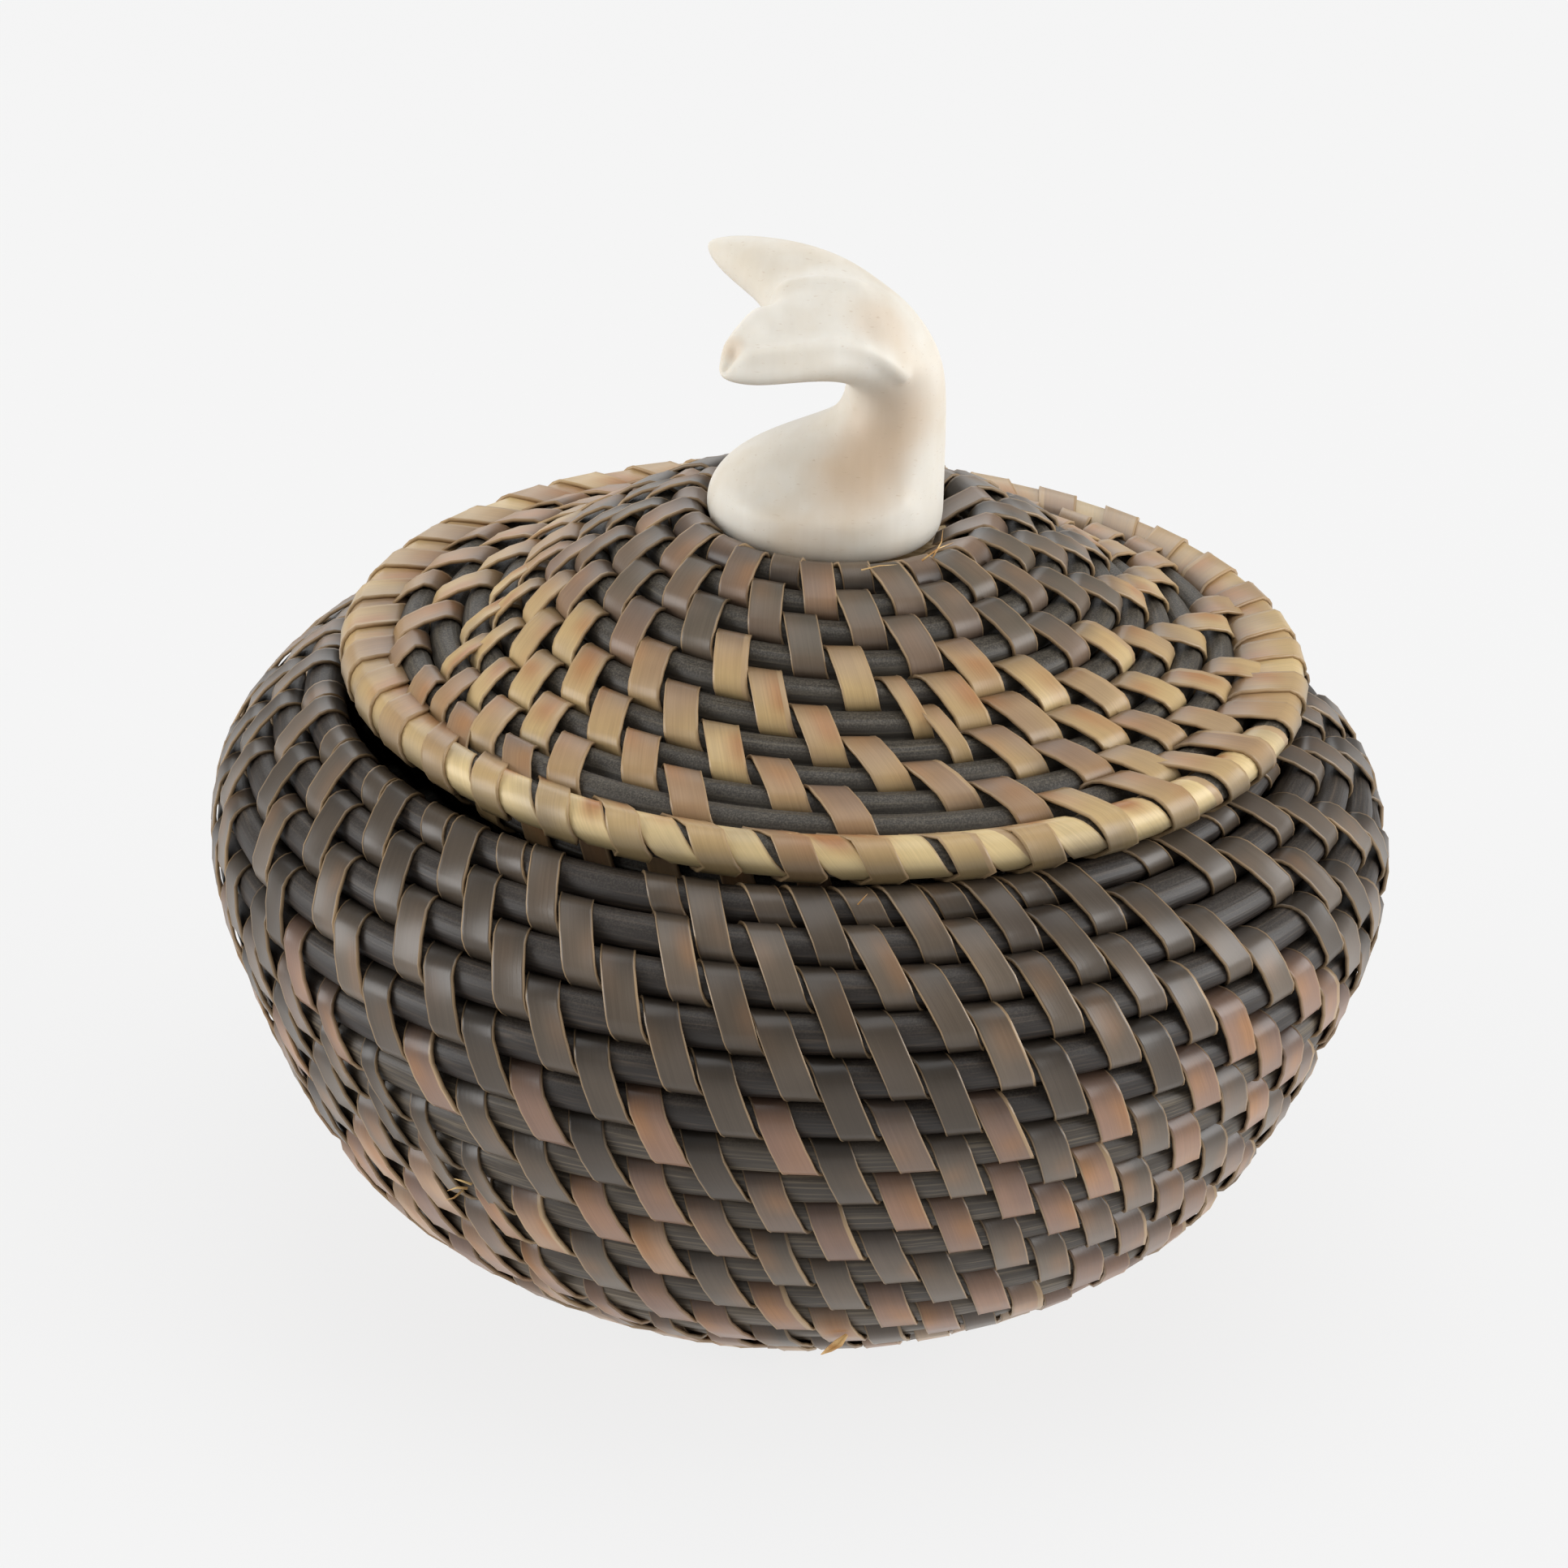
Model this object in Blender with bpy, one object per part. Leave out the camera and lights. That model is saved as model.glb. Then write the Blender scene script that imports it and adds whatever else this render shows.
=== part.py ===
"""Coiled basket with a lift-off lid and a carved whale-tail handle, modelled piece by piece.

Metres, +Z up. The origin is the middle of the base, on the surface that the basket stands on.
The body and the lid are each one long spiral of dark round rod that starts round a small disc.
Flat strips lash every turn to the turn before it. The strips' inner runs are thin turned skins here.
"""

from math import copysign, cos, pi, radians, sin, tau
from typing import NamedTuple

import bmesh
import bpy
import numpy as np

MM = 0.001
GAP = 0.3 * MM

# Points in one turn, for the rods and for everything turned round the same axis
TURN_POINTS = 24
TURN_STEP = tau / TURN_POINTS

# Samples between two points of a smooth line, and the size under which two corners are one
LINE_SAMPLES = 40
MERGE_SIZE = 0.001 * MM

# Body: radius and height of the rod's middle, in millimetres, from beside the base disc to the mouth
BODY_LINE = [
    (11.1, 1.44), (19.0, 1.44), (24.6, 2.4), (33.0, 7.0), (41.9, 14.2), (46.6, 22.4),
    (50.1, 30.8), (52.6, 38.8), (52.2, 45.9), (47.4, 52.0), (42.9, 55.5)]
BODY_PITCHES = (4.25 * MM, 3.65 * MM)
BODY_START_STEPS = 7

# Lid: the same for its rod, from beside the lid's disc out to the turn inside the rim
LID_LINE = [(12.9, 72.5), (19.0, 69.7), (24.5, 66.2), (29.0, 63.1), (33.5, 61.1), (39.2, 59.7)]
LID_PITCHES = (3.12 * MM, 3.12 * MM)
LID_START_STEPS = 10

# The lid lies a little to one side in its play
LID_SHIFT = 1.5 * MM

# A rod's radius as a share of the distance between its turns
ROD_SHARE = 0.42

# The last end of each spiral thins over this many steps, down to this share of the rod
BODY_TAPER_STEPS = 8
LID_TAPER_STEPS = 14
TAPER_SHARE = 0.45

# The strips' inner runs, which lie against the inside of the rods
SKIN = 0.6 * MM
SKIN_POINTS_PITCH = 7.0 * MM

# Rim of the lid: one rod bent to a ring, inside a close wrapping that is open towards the spiral
RIM_RADIUS = 42.6 * MM
RIM_HEIGHT = 59.1 * MM
RIM_ROD_RADIUS = 1.6 * MM
RIM_WRAP_RADIUS = 2.3 * MM
RIM_WRAP_OPENING = 100
RIM_WRAP_POINTS = 8

# Flange under the lid, two turns of rod on top of each other, which drop inside the mouth
FLANGE_RADIUS = 36.9 * MM
FLANGE_ROD_RADIUS = 1.4 * MM
FLANGE_TOP = 57.4 * MM
FLANGE_TURNS = 2
FLANGE_LOBE_POINTS = 4

# Discs that the two spirals start round
BASE_DISC_RADIUS = 8.8 * MM
BASE_DISC_HEIGHT = 2.6 * MM
LID_DISC_RADIUS = 11.2 * MM
LID_DISC_TOP = 71.6 * MM
LID_DISC_HEIGHT = 2.2 * MM
DISC_CHAMFER = 0.4 * MM
DISC_SIDES = 36
FLOOR_CUTTER_RADIUS = 40 * MM
FLOOR_CUTTER_DEPTH = 5 * MM

# Peg through the lid's disc into the handle's foot
PEG_RADIUS = 1.5 * MM
PEG_SIDES = 16
PEG_BELOW_DISC = 0.2 * MM
PEG_IN_FOOT = 4.0 * MM

# Handle: a whale's tail, lofted through rings of points from its foot to the notch between its flukes.
# Each ring gives its left end and its right or upper end in the XZ plane, its half width in Y, how far
# its sides sweep back towards -X, and how far they droop, in millimetres above the foot's underside.
TAIL_RINGS = [
    ((-7.6, 0.0), (7.0, 0.0), 7.6, 0.0, 0.0),
    ((-11.3, 0.0), (10.3, 0.0), 10.8, 0.0, 0.0),
    ((-12.0, 1.8), (10.8, 1.6), 11.3, 0.0, 0.0),
    ((-11.8, 4.2), (10.7, 4.2), 10.6, 0.0, 0.0),
    ((-9.4, 7.0), (10.6, 7.6), 8.2, 0.0, 0.0),
    ((-4.4, 9.0), (10.4, 10.6), 6.4, 0.0, 0.0),
    ((-0.8, 10.2), (10.2, 13.4), 5.6, 0.0, 0.0),
    ((0.9, 13.2), (9.8, 16.4), 5.4, 0.0, 0.0),
    ((0.8, 16.4), (8.6, 19.2), 6.8, 0.8, 0.3),
    ((-0.9, 17.9), (6.2, 22.1), 9.2, 1.8, 0.7),
    ((-3.2, 18.9), (2.9, 24.0), 12.0, 3.2, 1.1),
    ((-5.0, 19.4), (-1.2, 24.3), 13.9, 5.0, 1.4),
    ((-5.9, 20.7), (-4.3, 23.7), 13.9, 6.8, 1.5)]
TAIL_RING_POINTS = 12

# The flukes are turned and tilted a little against the foot
TAIL_TURN = 4.6
TAIL_TILT = 7.0

# Share of a ring's sweep at its middle, at its flanks and at its tips, so that the flukes end blunt
TAIL_SWEEP_SHARES = (0.0, 0.70, 1.0, 0.85)

# Below 1, this makes the edges of the flukes fuller than an ellipse's
FLUKE_EDGE_POWER = 0.5


class Finish(NamedTuple):
    """Colour in linear values, and roughness, of one kind of surface."""

    colour: tuple
    roughness: float


ROD_BROWN = Finish((0.045, 0.034, 0.026), 0.6)
ROD_GREY = Finish((0.072, 0.060, 0.046), 0.6)
STRIP_DARK = Finish((0.090, 0.078, 0.064), 0.5)
STRIP_BROWN = Finish((0.180, 0.125, 0.090), 0.5)
STRAW = Finish((0.480, 0.330, 0.170), 0.4)
IVORY = Finish((0.800, 0.730, 0.620), 0.3)
BONE = Finish((0.620, 0.480, 0.300), 0.45)

# Lengths of rod and of lashing, each with the share of its spiral where it ends
BODY_RODS = [
    ("base_coil_rod", 0.15), ("lower_wall_coil_rod", 0.43), ("belly_coil_rod", 0.71),
    ("mouth_coil_rod", 1.0)]
BODY_LASHINGS = [
    ("base_lashing", 0.165, STRIP_DARK), ("lower_wall_lashing", 0.58, STRIP_BROWN),
    ("upper_wall_lashing", 1.0, STRIP_DARK)]
LID_RODS = [("lid_inner_coil_rod", 0.46), ("lid_outer_coil_rod", 1.0)]
LID_LASHINGS = [("lid_inner_lashing", 0.46, STRIP_DARK), ("lid_outer_lashing", 1.0, STRIP_BROWN)]


class Meridian:
    """A smooth line through hand-placed points in the RZ plane, read by the length along it."""

    def __init__(self, points, side):
        """Fills a table of points along the line; side is 1 where the outer face lies right of it."""
        corners = np.array(points) * MM
        chords = np.hypot(*np.diff(corners, axis=0).T)
        places = np.r_[0.0, np.cumsum(chords)]
        slopes = np.gradient(corners, places, axis=0)
        rows = []
        for i, chord in enumerate(chords):
            for u in np.linspace(0.0, 1.0, LINE_SAMPLES, endpoint=False):
                rows.append(
                    (1 + 2 * u) * (1 - u) ** 2 * corners[i]
                    + u * (1 - u) ** 2 * chord * slopes[i]
                    + u * u * (3 - 2 * u) * corners[i + 1]
                    + u * u * (u - 1) * chord * slopes[i + 1])
        rows.append(corners[-1])
        self.table = np.array(rows)
        self.lengths = np.r_[0.0, np.cumsum(np.hypot(*np.diff(self.table, axis=0).T))]
        self.length = float(self.lengths[-1])
        self.side = side

    def at(self, length, outwards=0.0):
        """Returns radius and height at a length along the line, moved towards the outer face."""
        nearby = 0.2 * MM
        here = np.array([np.interp(length, self.lengths, axis) for axis in self.table.T])
        before = np.array([np.interp(length - nearby, self.lengths, axis) for axis in self.table.T])
        after = np.array([np.interp(length + nearby, self.lengths, axis) for axis in self.table.T])
        run = (after - before) / np.hypot(*(after - before))
        return here + outwards * self.side * np.array([run[1], -run[0]])


def clear_scene():
    """Removes the objects of the file that the script is run in."""
    for thing in list(bpy.data.objects):
        bpy.data.objects.remove(thing, do_unlink=True)


def material(name, finish):
    """Makes one plain material."""
    surface = bpy.data.materials.new(name)
    surface.use_nodes = True
    shader = surface.node_tree.nodes["Principled BSDF"]
    shader.inputs["Base Color"].default_value = (*finish.colour, 1.0)
    shader.inputs["Roughness"].default_value = finish.roughness
    shader.inputs["Metallic"].default_value = 0.0
    return surface


def add_object(name, data, finish, parent=None):
    """Links mesh or curve data to the scene as one named piece with its own material."""
    piece = bpy.data.objects.new(name, data)
    bpy.context.scene.collection.objects.link(piece)
    data.materials.append(material(name, finish))
    piece.parent = parent
    return piece


def turned(name, outline, finish, parent=None):
    """Turns a closed outline of radius and height round the Z axis; the axis itself may be an edge."""
    shape = bmesh.new()
    corners = [shape.verts.new((r, 0.0, z)) for r, z in outline]
    for corner, following in zip(corners, corners[1:] + corners[:1]):
        if corner.co.x > 0.0 or following.co.x > 0.0:
            shape.edges.new((corner, following))
    bmesh.ops.spin(
        shape, geom=shape.verts[:] + shape.edges[:], cent=(0, 0, 0), axis=(0, 0, 1),
        angle=tau, steps=TURN_POINTS, use_merge=True)
    bmesh.ops.remove_doubles(shape, verts=shape.verts[:], dist=MERGE_SIZE)
    bmesh.ops.recalc_face_normals(shape, faces=shape.faces[:])
    mesh = bpy.data.meshes.new(name)
    shape.to_mesh(mesh)
    shape.free()
    mesh.shade_smooth()
    return add_object(name, mesh, finish, parent)


def skin_outline(line, start, end, outer, thickness):
    """Returns the closed outline of a thin skin inside the rods, between two lengths along their line."""
    count = max(2, round((end - start) / SKIN_POINTS_PITCH) + 1)
    places = np.linspace(start, end, count)
    front = [line.at(place, -outer) for place in places]
    back = [line.at(place, -outer - thickness) for place in places]
    return front + back[::-1]


class Coil:
    """A spiral of rod along a meridian, whose turns may draw closer together on the way."""

    def __init__(self, line, pitches, first_step, taper_steps):
        """Works out how many whole steps of the spiral fit the line."""
        self.line = line
        self.first_pitch, self.last_pitch = pitches
        self.first_step = first_step
        self.taper_steps = taper_steps
        self.turns = 2 * line.length / (self.first_pitch + self.last_pitch)
        self.last_step = int(self.turns * TURN_POINTS)

    def vertex(self, step):
        """Returns the rod's middle after a number of steps."""
        turn = step / TURN_POINTS
        growth = (self.last_pitch - self.first_pitch) / (2 * self.turns)
        radius, height = self.line.at(self.first_pitch * turn + growth * turn * turn)
        angle = (self.first_step + step) * TURN_STEP
        return np.array([radius * cos(angle), radius * sin(angle), height])

    def rod_radius(self, step):
        """Returns the rod's radius after a number of steps."""
        share = step / self.last_step
        pitch = self.first_pitch + (self.last_pitch - self.first_pitch) * share
        left = min(1.0, (self.last_step - step) / self.taper_steps)
        return ROD_SHARE * pitch * (TAPER_SHARE + (1.0 - TAPER_SHARE) * left)

    def splice(self, corner, neighbour):
        """Returns the point half a gap short of the middle of the side between two corners."""
        side = neighbour - corner
        return corner + side * (0.5 - 0.5 * GAP / np.linalg.norm(side))

    def rod(self, name, start, end, finish, parent=None):
        """Makes one length of rod; at a splice it stops midway along a straight side."""
        steps = range(start, end + 1)
        points = [self.vertex(step) for step in steps]
        radii = [self.rod_radius(step) for step in steps]
        if start > 0:
            points.insert(0, self.splice(points[0], self.vertex(start - 1)))
            radii.insert(0, radii[0])
        if end < self.last_step:
            points.append(self.splice(points[-1], self.vertex(end + 1)))
            radii.append(radii[-1])
        print(name, "least gap between turns", round(least_gap(points, radii) / MM, 2), "mm")
        return rod(name, points, radii, finish, parent)

    def rods(self, ends, finish, parent=None):
        """Makes the spiral's lengths of rod, each named with the share of the turns where it ends."""
        start = 0
        for name, share in ends:
            end = round(self.last_step * share)
            self.rod(name, start, end, finish, parent)
            start = end + 1


def rod(name, points, radii, finish, parent=None):
    """Makes one closed tube through points, with a radius at each."""
    curve = bpy.data.curves.new(name, "CURVE")
    curve.dimensions = "3D"
    curve.twist_mode = "Z_UP"
    curve.bevel_depth = max(radii)
    curve.bevel_resolution = 1
    curve.use_fill_caps = True
    spline = curve.splines.new("POLY")
    spline.points.add(len(points) - 1)
    for corner, point, radius in zip(spline.points, points, radii):
        corner.co = (*point, 1.0)
        corner.radius = radius / curve.bevel_depth
    return add_object(name, curve, finish, parent)


def least_gap(points, radii):
    """Returns the least clear distance between one turn of a tube and the others."""
    path = np.array(points)
    half_turn = TURN_POINTS // 2
    least = np.inf
    for i, point in enumerate(path[:-half_turn - 1]):
        starts = path[i + half_turn:-1]
        sides = path[i + half_turn + 1:] - starts
        along = ((point - starts) * sides).sum(axis=1) / (sides * sides).sum(axis=1)
        nearest = starts + np.clip(along, 0.0, 1.0)[:, None] * sides
        clear = np.linalg.norm(nearest - point, axis=1) - radii[i] - np.array(radii[i + half_turn:-1])
        least = min(least, float(clear.min()))
    return least


def cut_by(piece, cutter):
    """Takes a cutter's shape out of a piece with a Boolean modifier, and hides the cutter."""
    cut = piece.modifiers.new("cut", "BOOLEAN")
    cut.operation = "DIFFERENCE"
    cut.object = cutter
    cutter.hide_render = True
    cutter.display_type = "WIRE"


def cylinder(name, radius, low, high, sides):
    """Returns a mesh of an upright cylinder on the Z axis."""
    shape = bmesh.new()
    bmesh.ops.create_cone(
        shape, cap_ends=True, segments=sides, radius1=radius, radius2=radius, depth=high - low)
    bmesh.ops.translate(shape, verts=shape.verts[:], vec=(0, 0, (low + high) / 2))
    mesh = bpy.data.meshes.new(name)
    shape.to_mesh(mesh)
    shape.free()
    return mesh


def guide(name, mesh, parent=None):
    """Links a mesh that only cuts other pieces."""
    cutter = bpy.data.objects.new(name, mesh)
    bpy.context.scene.collection.objects.link(cutter)
    cutter.parent = parent
    return cutter


def disc(name, radius, low, high, finish, parent=None):
    """Makes a starter disc with chamfered edges."""
    mesh = cylinder(name, radius, low, high, DISC_SIDES)
    piece = add_object(name, mesh, finish, parent)
    chamfer = piece.modifiers.new("chamfer", "BEVEL")
    chamfer.width = DISC_CHAMFER
    chamfer.segments = 1
    chamfer.limit_method = "ANGLE"
    return piece


def stand_flat(name, finish):
    """Turns a tube into a mesh and cuts it flat where the basket stands on it."""
    tube = bpy.data.objects[name]
    tube.name = "tube_guide"
    evaluated = tube.evaluated_get(bpy.context.evaluated_depsgraph_get())
    mesh = bpy.data.meshes.new_from_object(evaluated)
    bpy.data.objects.remove(tube, do_unlink=True)
    mesh.materials.clear()
    piece = add_object(name, mesh, finish)
    floor = cylinder("floor_cutter", FLOOR_CUTTER_RADIUS, -FLOOR_CUTTER_DEPTH, 0.0, DISC_SIDES)
    cut_by(piece, guide("floor_cutter", floor))


def lashings(line, parts, reach, lid=None):
    """Makes the strips' inner runs as thin skins, each named with the share of the line where it ends."""
    start = 0.0
    for name, share, finish in parts:
        end = share * line.length
        turned(name, skin_outline(line, start, end - GAP, reach, SKIN), finish, lid)
        start = end


def rim(lid):
    """Makes the rim's rod, bent to an open ring, and the wrapping round it."""
    angles = [step * TURN_STEP for step in range(1, TURN_POINTS)]
    points = [np.array([RIM_RADIUS * cos(a), RIM_RADIUS * sin(a), RIM_HEIGHT]) for a in angles]
    before = np.array([RIM_RADIUS, 0.0, RIM_HEIGHT])
    ends = [before + (point - before) * 0.5 * GAP / np.linalg.norm(point - before)
            for point in (points[0], points[-1])]
    points = [ends[0], *points, ends[1]]
    rod("lid_rim_rod", points, [RIM_ROD_RADIUS] * len(points), ROD_GREY, lid)
    half = radians(360 - RIM_WRAP_OPENING) / 2
    turns = np.linspace(-half, half, RIM_WRAP_POINTS)
    outer = [(RIM_RADIUS + RIM_WRAP_RADIUS * cos(a), RIM_HEIGHT + RIM_WRAP_RADIUS * sin(a)) for a in turns]
    inside = RIM_ROD_RADIUS + GAP
    inner = [(RIM_RADIUS + inside * cos(a), RIM_HEIGHT + inside * sin(a)) for a in turns[::-1]]
    turned("lid_rim_wrapping", outer + inner, STRAW, lid)


def flange(lid):
    """Makes the flange's stacked turns as one turned ring, and the lashing on its inner side."""
    outline = []
    for side, order in ((1, range(FLANGE_TURNS)), (-1, reversed(range(FLANGE_TURNS)))):
        for turn in order:
            middle = FLANGE_TOP - FLANGE_ROD_RADIUS * (1 + 2 * turn)
            for i in range(FLANGE_LOBE_POINTS):
                angle = pi / 2 - pi * (i + 0.5) / FLANGE_LOBE_POINTS
                outline.append((
                    FLANGE_RADIUS + side * FLANGE_ROD_RADIUS * cos(angle),
                    middle + side * FLANGE_ROD_RADIUS * sin(angle)))
    turned("lid_flange_coil", outline, ROD_GREY, lid)
    inner = FLANGE_RADIUS - FLANGE_ROD_RADIUS - GAP
    low = FLANGE_TOP - 2 * FLANGE_TURNS * FLANGE_ROD_RADIUS
    ring = [(inner, low), (inner, FLANGE_TOP), (inner - SKIN, FLANGE_TOP), (inner - SKIN, low)]
    turned("lid_flange_lashing", ring, STRIP_BROWN, lid)


def tail_point(ring, k):
    """Returns the k-th point of a ring of the handle; point 0 is its right or upper end."""
    (left_x, left_z), (right_x, right_z), half_width, sweep, droop = ring
    quarter = TAIL_RING_POINTS // 4
    angle = tau * k / TAIL_RING_POINTS
    across = cos(angle)
    aside = abs(sin(angle))
    y = half_width * sin(angle)
    x_back = z_down = 0.0
    if sweep:
        across = copysign(abs(across) ** FLUKE_EDGE_POWER, across)
        from_middle = quarter - abs(quarter - k % (2 * quarter))
        x_back = sweep * TAIL_SWEEP_SHARES[from_middle] + radians(TAIL_TURN) * y
        z_down = droop * aside ** 2 - radians(TAIL_TILT) * y
    share = (1 + across) / 2
    x = left_x + (right_x - left_x) * share - x_back
    z = left_z + (right_z - left_z) * share - z_down
    return x * MM, y * MM, z * MM


def tail_mesh():
    """Returns the handle's cage: rings joined side by side, closed at the foot and along the notch."""
    shape = bmesh.new()
    count = TAIL_RING_POINTS
    rings = [[shape.verts.new(tail_point(ring, k)) for k in range(count)] for ring in TAIL_RINGS]
    for low, high in zip(rings, rings[1:]):
        for k in range(count):
            following = (k + 1) % count
            shape.faces.new((low[k], low[following], high[following], high[k]))
    shape.faces.new(rings[0][::-1])
    last = rings[-1]
    half = count // 2
    for k in range(half // 2):
        for near, far in ((k, k + 1), (-k - 1, -k)):
            corners = [last[near], last[far], last[half - far], last[half - near]]
            shape.faces.new(dict.fromkeys(corners))
    bmesh.ops.recalc_face_normals(shape, faces=shape.faces[:])
    mesh = bpy.data.meshes.new("finial")
    shape.to_mesh(mesh)
    shape.free()
    mesh.shade_smooth()
    return mesh


def handle(lid):
    """Makes the carved handle, its peg and the disc that they are fixed to."""
    foot = LID_DISC_TOP + GAP
    underside = LID_DISC_TOP - LID_DISC_HEIGHT
    tail = add_object("finial", tail_mesh(), IVORY, lid)
    tail.location.z = foot
    smooth = tail.modifiers.new("carved", "SUBSURF")
    smooth.levels = 1
    smooth.render_levels = 1
    plate = disc("lid_starter_disc", LID_DISC_RADIUS, underside, LID_DISC_TOP, BONE, lid)
    low = underside - PEG_BELOW_DISC
    high = foot + PEG_IN_FOOT
    add_object("finial_peg", cylinder("finial_peg", PEG_RADIUS, low, high, PEG_SIDES), BONE, lid)
    hole = cylinder("peg_bore_cutter", PEG_RADIUS + GAP, low - MM, high + GAP, PEG_SIDES)
    bore = guide("peg_bore_cutter", hole, lid)
    cut_by(tail, bore)
    cut_by(plate, bore)


def main():
    """Builds the basket and its lid."""
    clear_scene()
    lid = bpy.data.objects.new("lid_lift", None)
    lid.location.x = LID_SHIFT
    bpy.context.scene.collection.objects.link(lid)

    body = Coil(Meridian(BODY_LINE, 1), BODY_PITCHES, BODY_START_STEPS, BODY_TAPER_STEPS)
    print("body turns", round(body.turns, 2))
    disc("base_starter_disc", BASE_DISC_RADIUS, 0.0, BASE_DISC_HEIGHT, BONE)
    body.rods(BODY_RODS, ROD_BROWN)
    stand_flat(BODY_RODS[0][0], ROD_BROWN)
    lashings(body.line, BODY_LASHINGS, ROD_SHARE * max(BODY_PITCHES) + GAP)

    cover = Coil(Meridian(LID_LINE, -1), LID_PITCHES, LID_START_STEPS, LID_TAPER_STEPS)
    print("lid turns", round(cover.turns, 2))
    cover.rods(LID_RODS, ROD_GREY, lid)
    lashings(cover.line, LID_LASHINGS, ROD_SHARE * max(LID_PITCHES) + GAP, lid)
    rim(lid)
    flange(lid)
    handle(lid)


main()
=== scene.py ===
"""Looks of the lidded coiled basket: its rods, the strips that lash them, the wrapped rim and the handle.

The body and the lid are each one spiral of dark rod. A stitch of flat strip passes over two turns of the rod
on the outside, goes in through the gap under them, rises behind them, and comes out again above them, beside
the place where it started. Lengths are in metres. MM turns the millimetres of the driving sizes into metres.
"""

from __future__ import annotations

import logging
from dataclasses import dataclass, field
from enum import Enum
from math import copysign, cos, degrees, pi, radians, sin, tau
from typing import NamedTuple

import bmesh
import bpy
import numpy as np
from mathutils import Matrix, Vector

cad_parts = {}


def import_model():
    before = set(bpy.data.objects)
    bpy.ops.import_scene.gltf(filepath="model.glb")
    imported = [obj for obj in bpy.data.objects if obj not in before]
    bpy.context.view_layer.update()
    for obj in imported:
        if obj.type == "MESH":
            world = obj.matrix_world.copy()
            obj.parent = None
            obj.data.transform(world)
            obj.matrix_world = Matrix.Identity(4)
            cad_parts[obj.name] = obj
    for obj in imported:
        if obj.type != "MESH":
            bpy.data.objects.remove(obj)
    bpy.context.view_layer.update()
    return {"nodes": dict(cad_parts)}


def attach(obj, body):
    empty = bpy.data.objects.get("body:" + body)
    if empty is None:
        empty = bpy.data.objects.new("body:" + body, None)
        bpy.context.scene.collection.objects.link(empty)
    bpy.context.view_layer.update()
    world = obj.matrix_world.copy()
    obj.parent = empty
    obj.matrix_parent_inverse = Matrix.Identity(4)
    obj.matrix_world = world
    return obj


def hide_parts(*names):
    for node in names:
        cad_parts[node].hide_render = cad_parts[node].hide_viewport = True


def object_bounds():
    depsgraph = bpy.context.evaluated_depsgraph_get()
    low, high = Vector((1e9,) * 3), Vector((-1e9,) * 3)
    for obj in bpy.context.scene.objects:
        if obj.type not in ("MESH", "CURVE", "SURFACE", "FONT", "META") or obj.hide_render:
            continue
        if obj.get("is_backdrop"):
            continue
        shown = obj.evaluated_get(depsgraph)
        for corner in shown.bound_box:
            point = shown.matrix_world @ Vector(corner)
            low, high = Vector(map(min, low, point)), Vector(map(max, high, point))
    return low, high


LOG = logging.getLogger("basket")
MM = 0.001

# The steps that a turn of a coil is counted in
COIL_STEPS = 24

# A rod's radius as a share of the distance between its turns
ROD_SHARE = 0.475

# How finely each stretch of a coil's line is sampled
LINE_SAMPLES = 40

# How far the lid lies to one side of the body's axis
LID_SHIFT = Vector((1.5 * MM, 0.0, 0.0))

Socket = bpy.types.NodeSocket


class Reach(Enum):
    """How many rods a strip passes over."""

    ONE_ROD = 1
    TWO_RODS = 2


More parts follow.
